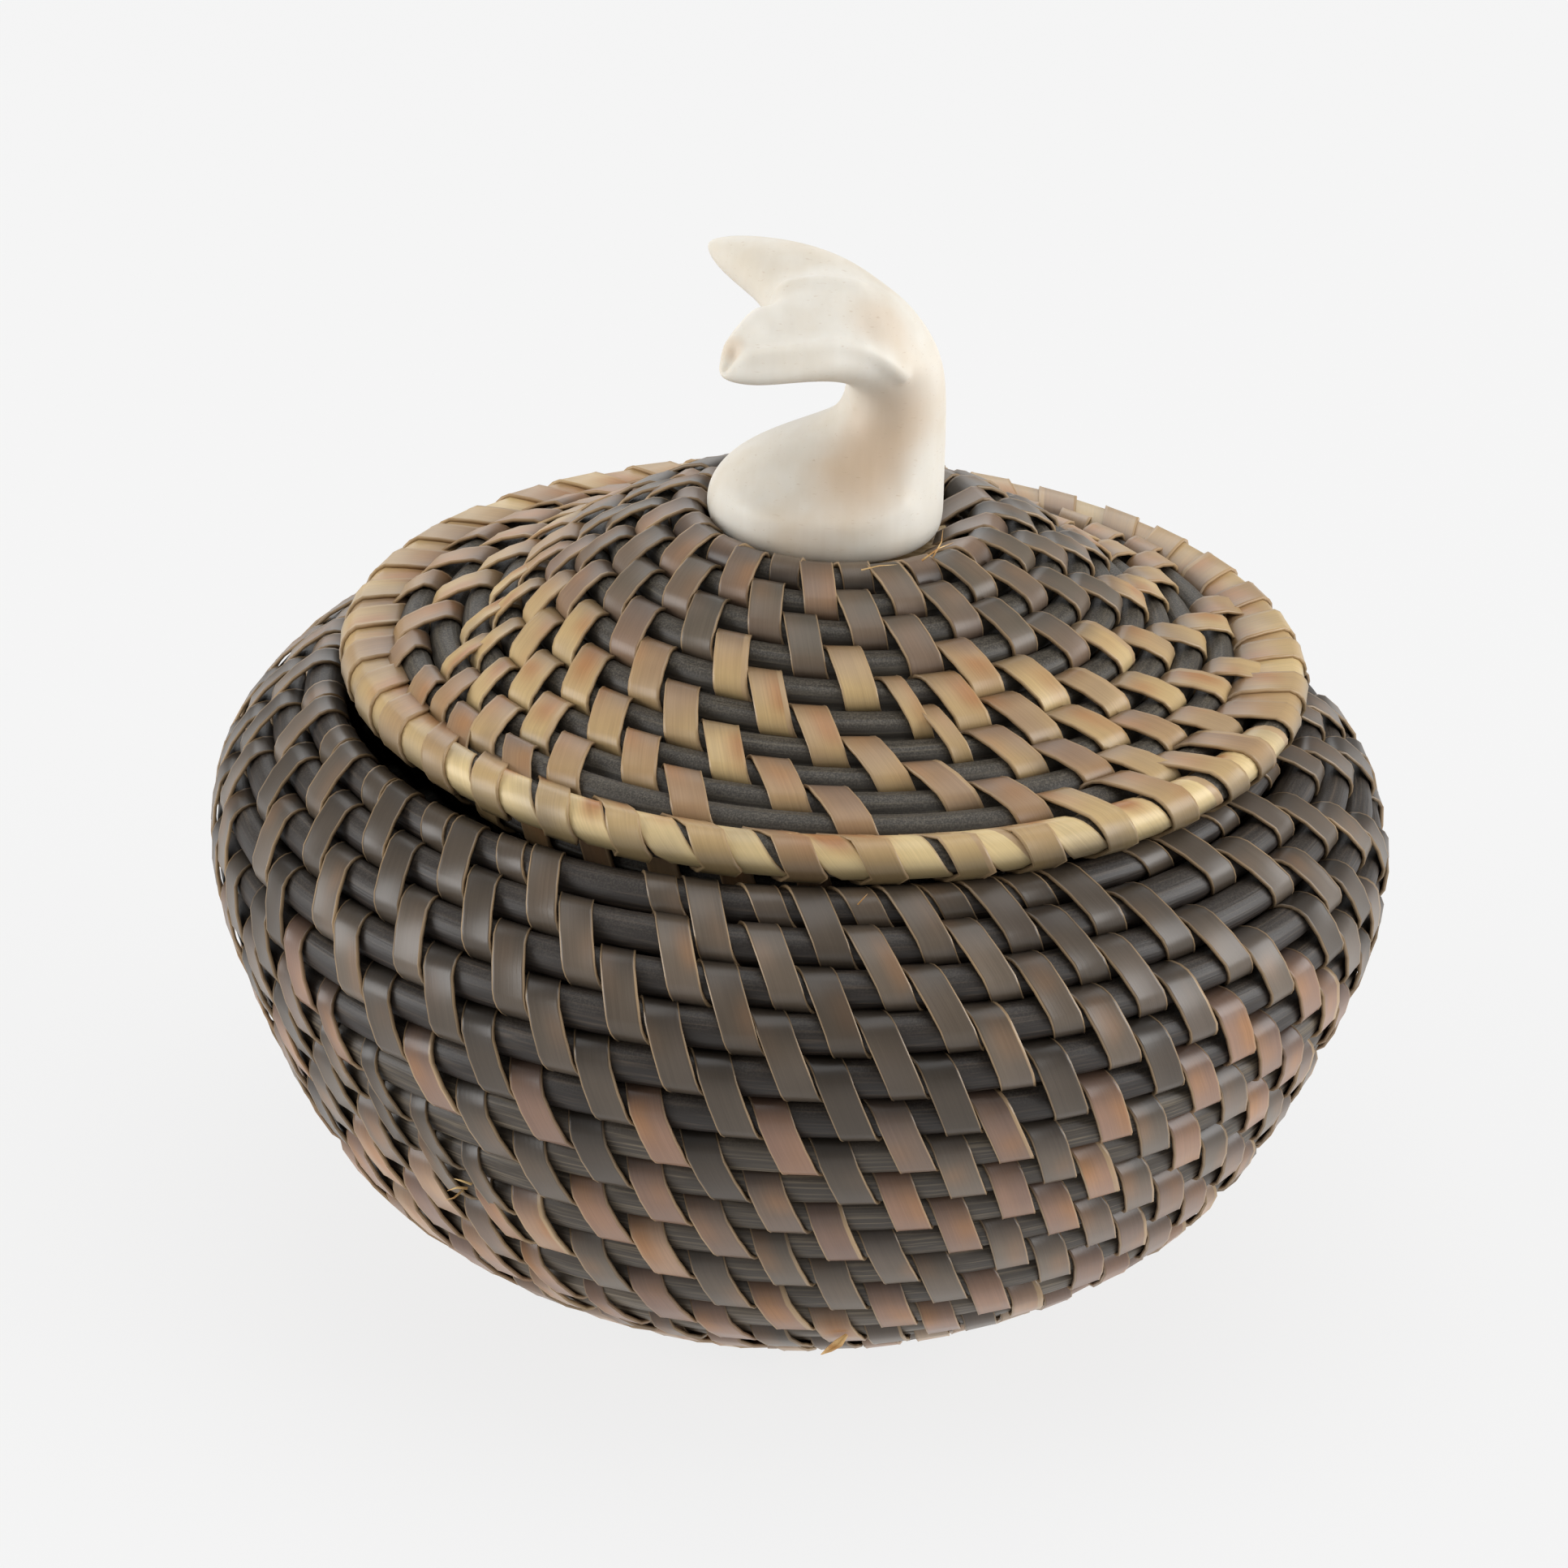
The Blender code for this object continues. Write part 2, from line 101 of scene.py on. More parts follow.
class Graph:
    """Adds nodes to a tree, each input given as a value or as another node's socket."""

    def __init__(self, tree: bpy.types.NodeTree) -> None:
        """Keeps the tree that the nodes go into."""
        self.tree = tree

    def node(self, kind: str, inputs: dict | None = None, **settings: object) -> bpy.types.Node:
        """Adds one node.

        Args:
            kind: Blender's name of the node's type.
            inputs: What each input, named or numbered, gets.
            settings: The node's own properties.

        Returns:
            The new node.
        """
        made = self.tree.nodes.new(kind)
        for name, setting in settings.items():
            setattr(made, name, setting)
        for key, value in (inputs or {}).items():
            self.feed(made.inputs[key], value)
        return made

    def feed(self, socket: Socket, value: object) -> None:
        """Links a socket to an input, or sets the input's value.

        Args:
            socket: The input.
            value: The output socket or plain value that it gets.
        """
        if isinstance(value, Socket):
            self.tree.links.new(value, socket)
        else:
            socket.default_value = value

    def math(self, operation: str, *values: object) -> Socket:
        """Adds a Math node.

        Args:
            operation: What it works out.
            values: Its inputs.

        Returns:
            Its result.
        """
        made = self.node("ShaderNodeMath", operation=operation)
        for socket, value in zip(made.inputs, values):
            self.feed(socket, value)
        return made.outputs[0]

    def times(self, product: object, *factors: object) -> Socket:
        """Multiplies numbers.

        Args:
            product: The first number.
            factors: The others.

        Returns:
            Their product.
        """
        for factor in factors:
            product = self.math("MULTIPLY", product, factor)
        return product

    def linear(self, value: object, slope: object, base: object) -> Socket:
        """Returns a value times a slope, plus a base."""
        return self.math("MULTIPLY_ADD", value, slope, base)

    def split(self, vector: Socket) -> list[Socket]:
        """Returns a vector's three parts."""
        return list(self.node("ShaderNodeSeparateXYZ", {0: vector}).outputs)

    def join(self, *parts: object) -> Socket:
        """Returns the vector of three parts."""
        return self.node("ShaderNodeCombineXYZ", dict(enumerate(parts))).outputs[0]

    def noise(self, place: Socket, scale: float, detail: float) -> Socket:
        """Returns the value of a noise at a place."""
        return self.node("ShaderNodeTexNoise", {"Vector": place, "Scale": scale, "Detail": detail}).outputs[0]

    def stretched(self, place: Socket, scales: tuple) -> Socket:
        """Returns a place that is scaled along each axis."""
        return self.node("ShaderNodeMapping", {"Vector": place, "Scale": scales}).outputs[0]

    def vector(self, operation: str, *values: object) -> Socket:
        """Adds a Vector Math node, whose last input is its scale where it is scaled.

        Args:
            operation: What it works out.
            values: Its inputs.

        Returns:
            Its result.
        """
        made = self.node("ShaderNodeVectorMath", operation=operation)
        sockets = [socket for socket in made.inputs if socket.enabled]
        for socket, value in zip(sockets, values):
            self.feed(socket, value)
        return next(socket for socket in made.outputs if socket.enabled)

    def smooth(self, value: Socket, low: float, high: float) -> Socket:
        """Maps a value to 0 below one bound, 1 above the other and a smooth step between.

        Args:
            value: The value's socket.
            low: Where the step starts.
            high: Where it ends.

        Returns:
            The mapped value.
        """
        made = self.node(
            "ShaderNodeMapRange", {"Value": value, "From Min": low, "From Max": high},
            interpolation_type="SMOOTHSTEP")
        return made.outputs["Result"]

    def blend(self, share: object, first: object, second: object, mode: str = "MIX") -> Socket:
        """Mixes two colours.

        Args:
            share: How much of the second colour there is.
            first: The first colour.
            second: The second colour.
            mode: The way they are blended.

        Returns:
            The mixed colour.
        """
        made = self.node("ShaderNodeMix", data_type="RGBA", blend_type=mode)
        self.feed(made.inputs[0], share)
        self.feed(made.inputs[6], first)
        self.feed(made.inputs[7], second)
        return made.outputs[2]


def colour(red: int, green: int, blue: int) -> tuple[float, float, float, float]:
    """Turns a colour seen on the screen into linear values.

    Args:
        red: Red from 0 to 255.
        green: Green from 0 to 255.
        blue: Blue from 0 to 255.

    Returns:
        Linear red, green, blue and a full alpha.
    """
    shares = [channel / 255 for channel in (red, green, blue)]
    linear = [share / 12.92 if share < 0.04045 else ((share + 0.055) / 1.055) ** 2.4 for share in shares]
    return (*linear, 1.0)


@dataclass(frozen=True)
class Surface:
    """What every finish has: a name, a roughness and the material that its nodes are drawn in."""

    name: str
    roughness: float

    def start(self) -> tuple[bpy.types.Material, Graph, bpy.types.Node, Socket]:
        """Makes an empty material.

        Returns:
            The material, its graph, its shader node and the place on the object.
        """
        made = bpy.data.materials.new(self.name)
        made.use_nodes = True
        shader = made.node_tree.nodes["Principled BSDF"]
        shader.inputs["Roughness"].default_value = self.roughness
        g = Graph(made.node_tree)
        return made, g, shader, g.node("ShaderNodeTexCoord").outputs["Object"]

    @staticmethod
    def paint(g: Graph, shader: bpy.types.Node, tint: Socket, relief: Socket, strength: float,
              depth: float) -> None:
        """Links a colour and a relief to a shader.

        Args:
            g: The material's graph.
            shader: Its shader node.
            tint: The colour.
            relief: The height that makes the relief.
            strength: How strong the relief is.
            depth: How deep it is.
        """
        g.feed(shader.inputs["Base Color"], tint)
        bump = g.node("ShaderNodeBump", {"Strength": strength, "Distance": depth, "Height": relief})
        g.feed(shader.inputs["Normal"], bump.outputs[0])


@dataclass(frozen=True)
class StripFinish(Surface):
    """Glossy flat strip with fine fibres along it, a pale line at each edge, drifting tints and painted shade
    at both ends.
    """

    tints: tuple = (
        (0.00, colour(69, 62, 52)), (0.22, colour(97, 86, 72)), (0.42, colour(127, 103, 84)),
        (0.60, colour(156, 125, 92)), (0.78, colour(184, 156, 110)), (1.00, colour(212, 188, 138)))
    edge: tuple = colour(172, 144, 108)
    warm: tuple = colour(166, 118, 74)
    cool: tuple = colour(100, 88, 92)
    # Painted shade at the strip's ends: the light left at the very ends, and how far the shade reaches from
    # the top and from the foot.
    dark_ends: float = 0.16
    dark_top: float = 0.48
    dark_foot: float = 0.28
    along_shift: float = 0.0
    gloss: float = 0.42

    DRIFT_SCALE = 130.0
    DRIFT_SHIFT = 0.16
    SHADE_SHIFT = 0.05
    SWIRL_SCALE = 170.0
    FIBRE_SCALES = (11.0, 1.1, 31.0)
    FIBRE_GREYS = (0.76, 1.16)

    def material(self) -> bpy.types.Material:
        """Draws the strip's material from the strips' own attributes.

        Returns:
            The material.
        """
        made, g, shader, place = self.start()
        across, along, tint, shade = [
            g.node("ShaderNodeAttribute", attribute_name=name).outputs["Fac"]
            for name in ("across", "along", "tint", "shade")]
        drift = g.noise(place, self.DRIFT_SCALE, 2.0)
        drifted = g.linear(g.math("SUBTRACT", drift, 0.5), self.DRIFT_SHIFT, tint)
        sloped = g.linear(along, self.along_shift, drifted)
        ramp = g.node("ShaderNodeValToRGB", {"Fac": g.linear(shade, self.SHADE_SHIFT, sloped)})
        self.fill(ramp.color_ramp)
        swirl = g.noise(place, self.SWIRL_SCALE, 0.0)
        warmed = g.blend(self.warmth(g, across, along, tint, shade, swirl), ramp.outputs[0], self.warm)
        coolness = g.times(g.smooth(swirl, 0.50, 0.20), g.linear(tint, 0.4, 0.03))
        cooled = g.blend(coolness, warmed, self.cool)
        threads = [g.times(value, scale) for value, scale in zip((across, along, shade), self.FIBRE_SCALES)]
        fibre = g.noise(g.join(*threads), 1.0, 3.0)
        greys = [(share, share, share, 1.0) for share in self.FIBRE_GREYS]
        fibred = g.blend(1.0, cooled, g.blend(fibre, *greys), "MULTIPLY")
        # Painted shade: the colour darkens towards both ends of the strip, where it goes into the gaps
        # between the rods.
        openness = self.openness(g, along)
        lit = g.vector("SCALE", fibred, openness)
        # The pale edges take part of the painted shade at the ends.
        edge = g.vector("SCALE", self.edge[:3], g.linear(openness, 0.6, 0.4))
        lined = g.blend(self.edge_share(g, across, tint, shade, drift), lit, edge)
        self.paint(g, shader, lined, fibre, strength=0.18, depth=0.04 * MM)
        g.feed(shader.inputs["Roughness"], g.linear(fibre, 0.10, self.roughness - 0.05))
        shader.inputs["Specular IOR Level"].default_value = self.gloss
        return made

    @staticmethod
    def warmth(g: Graph, across: Socket, along: Socket, tint: Socket, shade: Socket, swirl: Socket) -> Socket:
        """Works out a warm glow that lies off the strip's middle, stronger on pale strips.

        Args:
            g: The material's graph.
            across: The place across the strip.
            along: The place along it.
            tint: The strip's tint.
            shade: The strip's own random number.
            swirl: A slow noise.

        Returns:
            The share of the warm colour.
        """
        aside = g.math("SINE", g.times(shade, 40.0))
        sideways = g.math("ABSOLUTE", g.linear(aside, 0.8, across))
        lengthways = g.math("ABSOLUTE", g.math("SUBTRACT", g.linear(aside, 0.15, along), 0.38))
        glow = g.times(g.smooth(lengthways, 0.45, 0.05), g.smooth(sideways, 1.3, 0.1))
        return g.times(glow, g.times(tint, 1.5, g.smooth(swirl, 0.35, 0.65)))

    def openness(self, g: Graph, along: Socket) -> Socket:
        """Works out the painted shade along the strip: how much light reaches each place, little at both
        ends.

        Args:
            g: The material's graph.
            along: The place along the strip.

        Returns:
            The share of the light.
        """
        start = g.smooth(along, -0.02, self.dark_top)
        finish = g.smooth(along, 1.06, 1.06 - self.dark_foot)
        return g.linear(g.times(start, finish), 1.0 - self.dark_ends, self.dark_ends)

    @staticmethod
    def edge_share(g: Graph, across: Socket, tint: Socket, shade: Socket, drift: Socket) -> Socket:
        """Works out where the pale edge shows, which is wider on one side of a few strips.

        Args:
            g: The material's graph.
            across: The place across the strip.
            tint: The strip's tint.
            shade: The strip's own random number.
            drift: A noise that fades the edge here and there.

        Returns:
            The share of the edge's colour.
        """
        odd = g.times(g.smooth(g.math("FRACT", g.times(shade, 17.0)), 0.84, 0.88), tint)
        widened = g.times(odd, g.smooth(across, 0.0, 0.7))
        rim = g.smooth(g.linear(widened, 0.45, g.math("ABSOLUTE", across)), 0.90, 0.97)
        return g.times(rim, g.linear(drift, 1.3, g.linear(odd, 0.5, -0.05)))

    def fill(self, ramp: bpy.types.ColorRamp) -> None:
        """Puts the tints into a ramp.

        Args:
            ramp: The ramp, with Blender's own two stops.
        """
        while len(ramp.elements) < len(self.tints):
            ramp.elements.new(0.5)
        for stop, (place, tint) in zip(ramp.elements, self.tints):
            stop.position = place
            stop.color = tint


@dataclass(frozen=True)
class RodFinish(Surface):
    """Dark rod with streaks along it and some dust on top."""

    dark: tuple = colour(33, 26, 21)
    light: tuple = colour(78, 66, 54)
    dust: tuple = colour(120, 112, 98)
    dust_share: float = 0.15
    axis: float = 0.0

    WANDER_SCALE = 60.0
    STREAKS = 3800.0
    GRAIN_SCALE = 6000.0

    def material(self) -> bpy.types.Material:
        """Draws streaks in circles round the coil's axis.

        Returns:
            The material.
        """
        made, g, shader, place = self.start()
        right, back, up = g.split(g.vector("SUBTRACT", place, (self.axis, 0.0, 0.0)))
        reach = g.math("SQRT", g.math("ADD", g.times(right, right), g.times(back, back)))
        wander = g.noise(place, self.WANDER_SCALE, 0.0)
        lines = g.join(g.times(reach, self.STREAKS), g.times(up, self.STREAKS), g.times(wander, 5.0))
        streak = g.noise(lines, 1.0, 3.0)
        body = g.blend(g.smooth(streak, 0.45, 0.90), self.dark, self.light)
        grain = g.noise(place, self.GRAIN_SCALE, 2.0)
        upward = g.split(g.node("ShaderNodeNewGeometry").outputs["Normal"])[2]
        dusty = g.times(g.smooth(upward, 0.0, 1.0), g.smooth(grain, 0.40, 0.68), self.dust_share)
        self.paint(g, shader, g.blend(dusty, body, self.dust), streak, strength=0.6, depth=0.08 * MM)
        return made


@dataclass(frozen=True)
class Stain:
    """A soft round stain on the carving."""

    middle: tuple
    radius: float
    strength: float


@dataclass(frozen=True)
class IvoryFinish(Surface):
    """Creamy carved ivory: faint grain, a few pores and orange stains."""

    cream: tuple = colour(221, 217, 208)
    shadow: tuple = colour(213, 204, 188)
    stain: tuple = colour(200, 162, 116)
    fleck: tuple = colour(170, 140, 104)
    stains: tuple = ()

    CLOUD_SCALE = 120.0
    GRAIN_SCALES = (900.0, 300.0, 120.0)
    GRAIN_TINTS = ((0.93, 0.91, 0.88, 1.0), (1.04, 1.04, 1.04, 1.0))
    FLECK_SCALES = (1300.0, 2600.0, 6000.0)
    FLECK_SHARE = 0.30

    def material(self) -> bpy.types.Material:
        """Draws the grain and the stains on object coordinates.

        Returns:
            The material.
        """
        made, g, shader, place = self.start()
        cloud = g.noise(place, self.CLOUD_SCALE, 3.0)
        grain = g.noise(g.stretched(place, self.GRAIN_SCALES), 1.0, 3.0)
        body = g.blend(g.smooth(cloud, 0.35, 0.75), self.cream, self.shadow)
        for spot in self.stains:
            far = g.vector("DISTANCE", place, spot.middle)
            near = g.smooth(g.linear(cloud, -0.5 * spot.radius, far), spot.radius, 0.0)
            body = g.blend(g.times(near, spot.strength), body, self.stain)
        lined = g.blend(1.0, body, g.blend(grain, *self.GRAIN_TINTS), "MULTIPLY")
        fleck = g.noise(g.stretched(place, self.FLECK_SCALES), 1.0, 1.0)
        flecked = g.blend(g.times(g.smooth(fleck, 0.66, 0.82), self.FLECK_SHARE), lined, self.fleck)
        self.paint(g, shader, flecked, grain, strength=0.15, depth=0.05 * MM)
        shader.inputs["Specular IOR Level"].default_value = 0.3
        shader.inputs["Subsurface Weight"].default_value = 0.25
        shader.inputs["Subsurface Radius"].default_value = (1.0, 0.85, 0.7)
        shader.inputs["Subsurface Scale"].default_value = 1.5 * MM
        return made


@dataclass(frozen=True)
class BoneFinish(Surface):
    """Tan bone of the starter discs and the peg, or the pale tissue of a loose fibre, with short grain."""

    pale: tuple = colour(206, 184, 146)
    brown: tuple = colour(150, 120, 84)

    GRAIN_SCALES = (300.0, 1500.0, 600.0)

    def material(self) -> bpy.types.Material:
        """Draws the grain on object coordinates.

        Returns:
            The material.
        """
        made, g, shader, place = self.start()
        grain = g.noise(g.stretched(place, self.GRAIN_SCALES), 1.0, 4.0)
        tint = g.blend(g.smooth(grain, 0.3, 0.7), self.brown, self.pale)
        self.paint(g, shader, tint, grain, strength=0.4, depth=0.05 * MM)
        return made


@dataclass(frozen=True)
class Meridian:
    """A smooth line through given points in the RZ plane, read by the length along it."""

    points: tuple
    side: int
    table: np.ndarray = field(init=False, compare=False)
    lengths: np.ndarray = field(init=False, compare=False)

    NEARBY = 0.2 * MM

    def __post_init__(self) -> None:
        """Fills the table of points along the line."""
        corners = np.array(self.points) * MM
        chords = np.hypot(*np.diff(corners, axis=0).T)
        places = np.r_[0.0, np.cumsum(chords)]
        slopes = np.gradient(corners, places, axis=0)
        rows = []
        for i, chord in enumerate(chords):
            for u in np.linspace(0.0, 1.0, LINE_SAMPLES, endpoint=False):
                rows.append(
                    (1 + 2 * u) * (1 - u) ** 2 * corners[i]
                    + u * (1 - u) ** 2 * chord * slopes[i]
                    + u * u * (3 - 2 * u) * corners[i + 1]
                    + u * u * (u - 1) * chord * slopes[i + 1])
        rows.append(corners[-1])
        table = np.array(rows)
        object.__setattr__(self, "table", table)
        object.__setattr__(self, "lengths", np.r_[0.0, np.cumsum(np.hypot(*np.diff(table, axis=0).T))])

    def at(self, length: float) -> np.ndarray:
        """Reads the line, and its straight continuation past each end.

        Args:
            length: How far along the line.

        Returns:
            Radius and height.
        """
        inside = min(max(length, 0.0), self.lengths[-1])
        return self.read(inside) + (length - inside) * self.run(inside)

    def read(self, length: float) -> np.ndarray:
        """Returns the radius and height in the table at a length along the line."""
        return np.array([np.interp(length, self.lengths, axis) for axis in self.table.T])

    def run(self, length: float) -> np.ndarray:
        """Returns the unit direction of the line at a length along it."""
        chord = self.read(length + self.NEARBY) - self.read(length - self.NEARBY)
        return chord / np.hypot(*chord)

    def outward(self, length: float) -> np.ndarray:
        """Returns the unit direction away from the line on its outer side."""
        run = self.run(min(max(length, 0.0), self.lengths[-1]))
        return self.side * np.array([run[1], -run[0]])


class Turn(NamedTuple):
    """A rod's middle in the RZ plane, and its radius there."""

    radius: float
    height: float
    girth: float


@dataclass(frozen=True)
class Coil:
    """A spiral of rod along a meridian, whose turns may draw closer together on the way.

    Its end narrows within the last turn, or in a run-out past it that stays between the last turn and the
    rim.
    """

    line: Meridian
    pitches: tuple
    first_step: int
    taper_steps: int
    taper_share: float = 0.45
    run_out: float = 0.0
    flat_base: float = 1.0
    flat_turns: float = 0.0

    @property
    def turns(self) -> float:
        """Turns that fit the line."""
        return 2 * self.line.lengths[-1] / sum(self.pitches)

    @property
    def last_turn(self) -> float:
        """Where the rod ends, in turns."""
        return int(self.turns * COIL_STEPS) / COIL_STEPS

    def length(self, turn: float) -> float:
        """Finds the length along the line; a run-out climbs half as fast as the turns before it.

        Args:
            turn: The number of turns.

        Returns:
            The length.
        """
        first, last = self.pitches
        inside = min(turn, self.last_turn) if self.run_out else turn
        closing = (last - first) / (2 * self.turns) * inside * inside
        return first * inside + closing + 0.5 * last * (turn - inside)

    def pitch(self, turn: float) -> float:
        """Returns the distance between turns."""
        first, last = self.pitches
        return first + (last - first) * min(max(turn / self.turns, 0.0), 1.0)

    def azimuth(self, turn: float) -> float:
        """Returns the angle round the axis at a number of turns."""
        return tau * (turn + self.first_step / COIL_STEPS)

    def girth(self, turn: float) -> float:
        """Finds the rod's radius, which thins at the end.

        Args:
            turn: The number of turns.

        Returns:
            The radius.
        """
        taper_turns = self.run_out or self.taper_steps / COIL_STEPS
        left = min(1.0, max(0.0, (self.last_turn + self.run_out - turn) / taper_turns))
        return ROD_SHARE * self.pitch(turn) * (self.taper_share + (1.0 - self.taper_share) * left)

    def flat(self, turn: float) -> float:
        """Finds how thick the rod is across the wall.

        Args:
            turn: The number of turns.

        Returns:
            Its thickness as a share of its width.
        """
        if not self.flat_turns:
            return 1.0
        share = min(max(turn / self.flat_turns, 0.0), 1.0)
        return self.flat_base + (1.0 - self.flat_base) * share * share * (3 - 2 * share)

    def at(self, turn: float) -> Turn:
        """Returns the rod's middle and radius at a number of turns."""
        radius, height = self.line.at(self.length(turn))
        return Turn(float(radius), float(height), self.girth(turn))

    def around(self, turn: float, radial: float, up: float) -> np.ndarray:
        """Returns a radius and a height as a vector in space, on the side where a number of turns ends."""
        angle = self.azimuth(turn)
        return np.array([radial * cos(angle), radial * sin(angle), up])

    def point(self, turn: float) -> np.ndarray:
        """Returns the rod's middle in space."""
        return self.around(turn, *self.line.at(self.length(turn)))

    def outward(self, turn: float) -> np.ndarray:
        """Returns the direction out of the wall in space."""
        return self.around(turn, *self.line.outward(self.length(turn)))


def link_object(name: str, held: bpy.types.ID) -> bpy.types.Object:
    """Puts a mesh, a light or a camera into the scene as an object at the origin.

    Args:
        name: The object's name.
        held: What it holds.

    Returns:
        The object.
    """
    made = bpy.data.objects.new(name, held)
    bpy.context.scene.collection.objects.link(made)
    return made


def join_body(piece: bpy.types.Object, body: str) -> None:
    """Lets a piece ride on a body and reports it.

    Args:
        piece: The piece.
        body: The body that moves it.
    """
    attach(piece, body)
    LOG.info("%s: %d faces", piece.name, len(piece.data.polygons))


def give_attribute(mesh: bpy.types.Mesh, name: str, values: np.ndarray) -> None:
    """Stores one number or one vector at each vertex.

    Args:
        mesh: The mesh.
        name: The attribute's name.
        values: A row for each vertex.
    """
    kind, key = ("FLOAT", "value") if np.ndim(values) == 1 else ("FLOAT_VECTOR", "vector")
    layer = mesh.attributes.new(name, kind, "POINT")
    layer.data.foreach_set(key, np.asarray(values, dtype=np.float32).ravel())


def evaluated_mesh(source: bpy.types.Object, name: str, keep: tuple = ()) -> bpy.types.Mesh:
    """Turns an object with modifiers into a plain mesh, and removes the object.

    Args:
        source: The object.
        name: The new mesh's name.
        keep: The attributes that the materials read.

    Returns:
        The mesh.
    """
    evaluated = source.evaluated_get(bpy.context.evaluated_depsgraph_get())
    mesh = bpy.data.meshes.new_from_object(evaluated)
    bpy.data.objects.remove(source, do_unlink=True)
    mesh.name = name
    wanted = {
        "position", "sharp_face", "material_index", ".edge_verts", ".corner_vert", ".corner_edge", *keep}
    for layer in [layer.name for layer in mesh.attributes if layer.name not in wanted]:
        mesh.attributes.remove(mesh.attributes[layer])
    return mesh


@dataclass
class CarrierTree:
    """A geometry tree that turns a carrier mesh into a piece."""

    tree: bpy.types.NodeTree = None
    sockets: dict = field(default_factory=dict)

    def start(self, name: str, inputs: dict, output: str) -> Graph:
        """Makes the tree with its inputs and its output.

        Args:
            name: The tree's name.
            inputs: Each input's name and the end of Blender's name of its type.
            output: The name of the geometry that comes out.

        Returns:
            The tree's graph.
        """
        self.tree = bpy.data.node_groups.new(name, "GeometryNodeTree")
        new_socket = self.tree.interface.new_socket
        for key, kind in inputs.items():
            self.sockets[key] = new_socket(key, in_out="INPUT", socket_type=f"NodeSocket{kind}").identifier
        new_socket(output, in_out="OUTPUT", socket_type="NodeSocketGeometry")
        return Graph(self.tree)

    def run(self, mesh: bpy.types.Mesh, values: dict, keep: tuple = ()) -> bpy.types.Object:
        """Runs the tree on a carrier mesh and keeps what comes out as one plain piece.

        Args:
            mesh: The carrier mesh, which has the piece's name.
            values: What each input gets.
            keep: The attributes that the materials read.

        Returns:
            The piece.
        """
        name = mesh.name
        carrier = link_object(f"{name}_carrier", mesh)
        modifier = carrier.modifiers.new(self.tree.name, "NODES")
        modifier.node_group = self.tree
        for key, value in values.items():
            modifier[self.sockets[key]] = value
        return link_object(name, evaluated_mesh(carrier, name, keep))


class Station(NamedTuple):
    """One place along a strip: which rod it is on, the angle round it, and how it moves sideways."""

    end: float
    angle: float
    raised: float
    lean_share: float
    step_share: float
    along: float


@dataclass(frozen=True)
class StripForm:
    """A flat strip before it is laid. Its X, Y and Z are across, angle round the rod and height above it."""

    name: str
    reach: Reach
    thickness: float = 0.34 * MM
    clearance: float = 0.02 * MM
    bulge: float = 0.42 * MM
    edge_share: float = 0.84
    hollow: float = 0.14

    OUTER = (112.0, 92.0, 72.0, 52.0, 32.0, 11.0)
    SINGLE = (
        116.0, 95.0, 75.0, 55.0, 35.0, 15.0, -5.0, -25.0, -45.0, -65.0, -88.0, -112.0, -150.0, -180.0, -210.0,
        -240.0)
    SINGLE_SEEN = 228.0
    BEHIND = ((0.0, -150.0, 0.3), (0.0, -180.0, 1.15), (1.0, 180.0, 0.0), (1.0, 120.0, 0.0))
    BEHIND_REACH = 1.93
    SEEN_LENGTH = 2.0 + pi
    OVERRUN = 1.12

    def stations(self) -> list[Station]:
        """Lists the places along the strip from where it comes out, over the rods, to where it ends behind.

        Returns:
            The stations.
        """
        if self.reach is Reach.ONE_ROD:
            return [
                Station(
                    1.0, radians(angle), 0.0, -radians(angle) / pi, 0.0,
                    min(1.0, (self.SINGLE[0] - angle) / self.SINGLE_SEEN))
                for angle in self.SINGLE]
        upper = [self.outer_station(1.0, angle) for angle in self.OUTER]
        lower = [self.outer_station(0.0, -angle) for angle in reversed(self.OUTER)]
        inner = []
        for end, angle, layer in self.BEHIND:
            height = (1.0 if end else -1.0) + sin(radians(angle))
            share = (height + self.BEHIND_REACH) / (2.0 * self.BEHIND_REACH)
            inner.append(Station(
                end, radians(angle), layer * self.thickness, 0.5 * self.OVERRUN * (1.0 - 2.0 * share), share,
                1.0 + share))
        return upper + [self.outer_station(0.5, 0.0)] + lower + inner

    def outer_station(self, end: float, angle: float) -> Station:
        """Makes a station on the outside; the strip leans evenly by the length along it.

        Args:
            end: 1 on the upper rod, 0 on the lower one, 0.5 between them.
            angle: The angle round the rod in degrees, from straight out.

        Returns:
            The station.
        """
        from_middle = (2.0 * end - 1.0 + radians(angle)) / self.SEEN_LENGTH
        raised = self.bulge * max(0.0, 1.0 - (2.0 * from_middle) ** 2) ** 2
        return Station(end, radians(angle), raised, -from_middle, 0.0, 0.5 - from_middle)

    def mesh(self) -> bpy.types.Mesh:
        """Makes the closed form, with the attributes that the weave reads.

        Returns:
            The mesh.
        """
        low = self.clearance
        high = low + self.thickness
        cupped = high - self.hollow * self.thickness
        profile = [
            (-1.0, low), (-1.0, high), (-self.edge_share, cupped), (self.edge_share, cupped), (1.0, high),
            (1.0, low)]
        stations = self.stations()
        count, rings = len(profile), len(stations)
        places = [
            (0.5 * across, station.angle, depth + station.raised)
            for station in stations for across, depth in profile]
        faces = [tuple(range(count)), tuple((rings - 1) * count + k for k in reversed(range(count)))]
        for i in range(rings - 1):
            for k in range(count):
                near = i * count
                far = near + count
                following = (k + 1) % count
                faces.append((near + k, far + k, far + following, near + following))
        mesh = bpy.data.meshes.new(self.name)
        mesh.from_pydata(places, [], faces)
        for name in ("end", "lean_share", "step_share", "along"):
            values = [getattr(station, name) for station in stations]
            give_attribute(mesh, name, np.repeat(values, count))
        give_attribute(mesh, "across", np.tile([across for across, _ in profile], rings))
        return mesh


class Seed(NamedTuple):
    """One stitch before it is laid."""

    azimuth: float
    upper: Turn
    lower: Turn
    flat: float
    width: float
    lean: float
    step: float
    tint: float


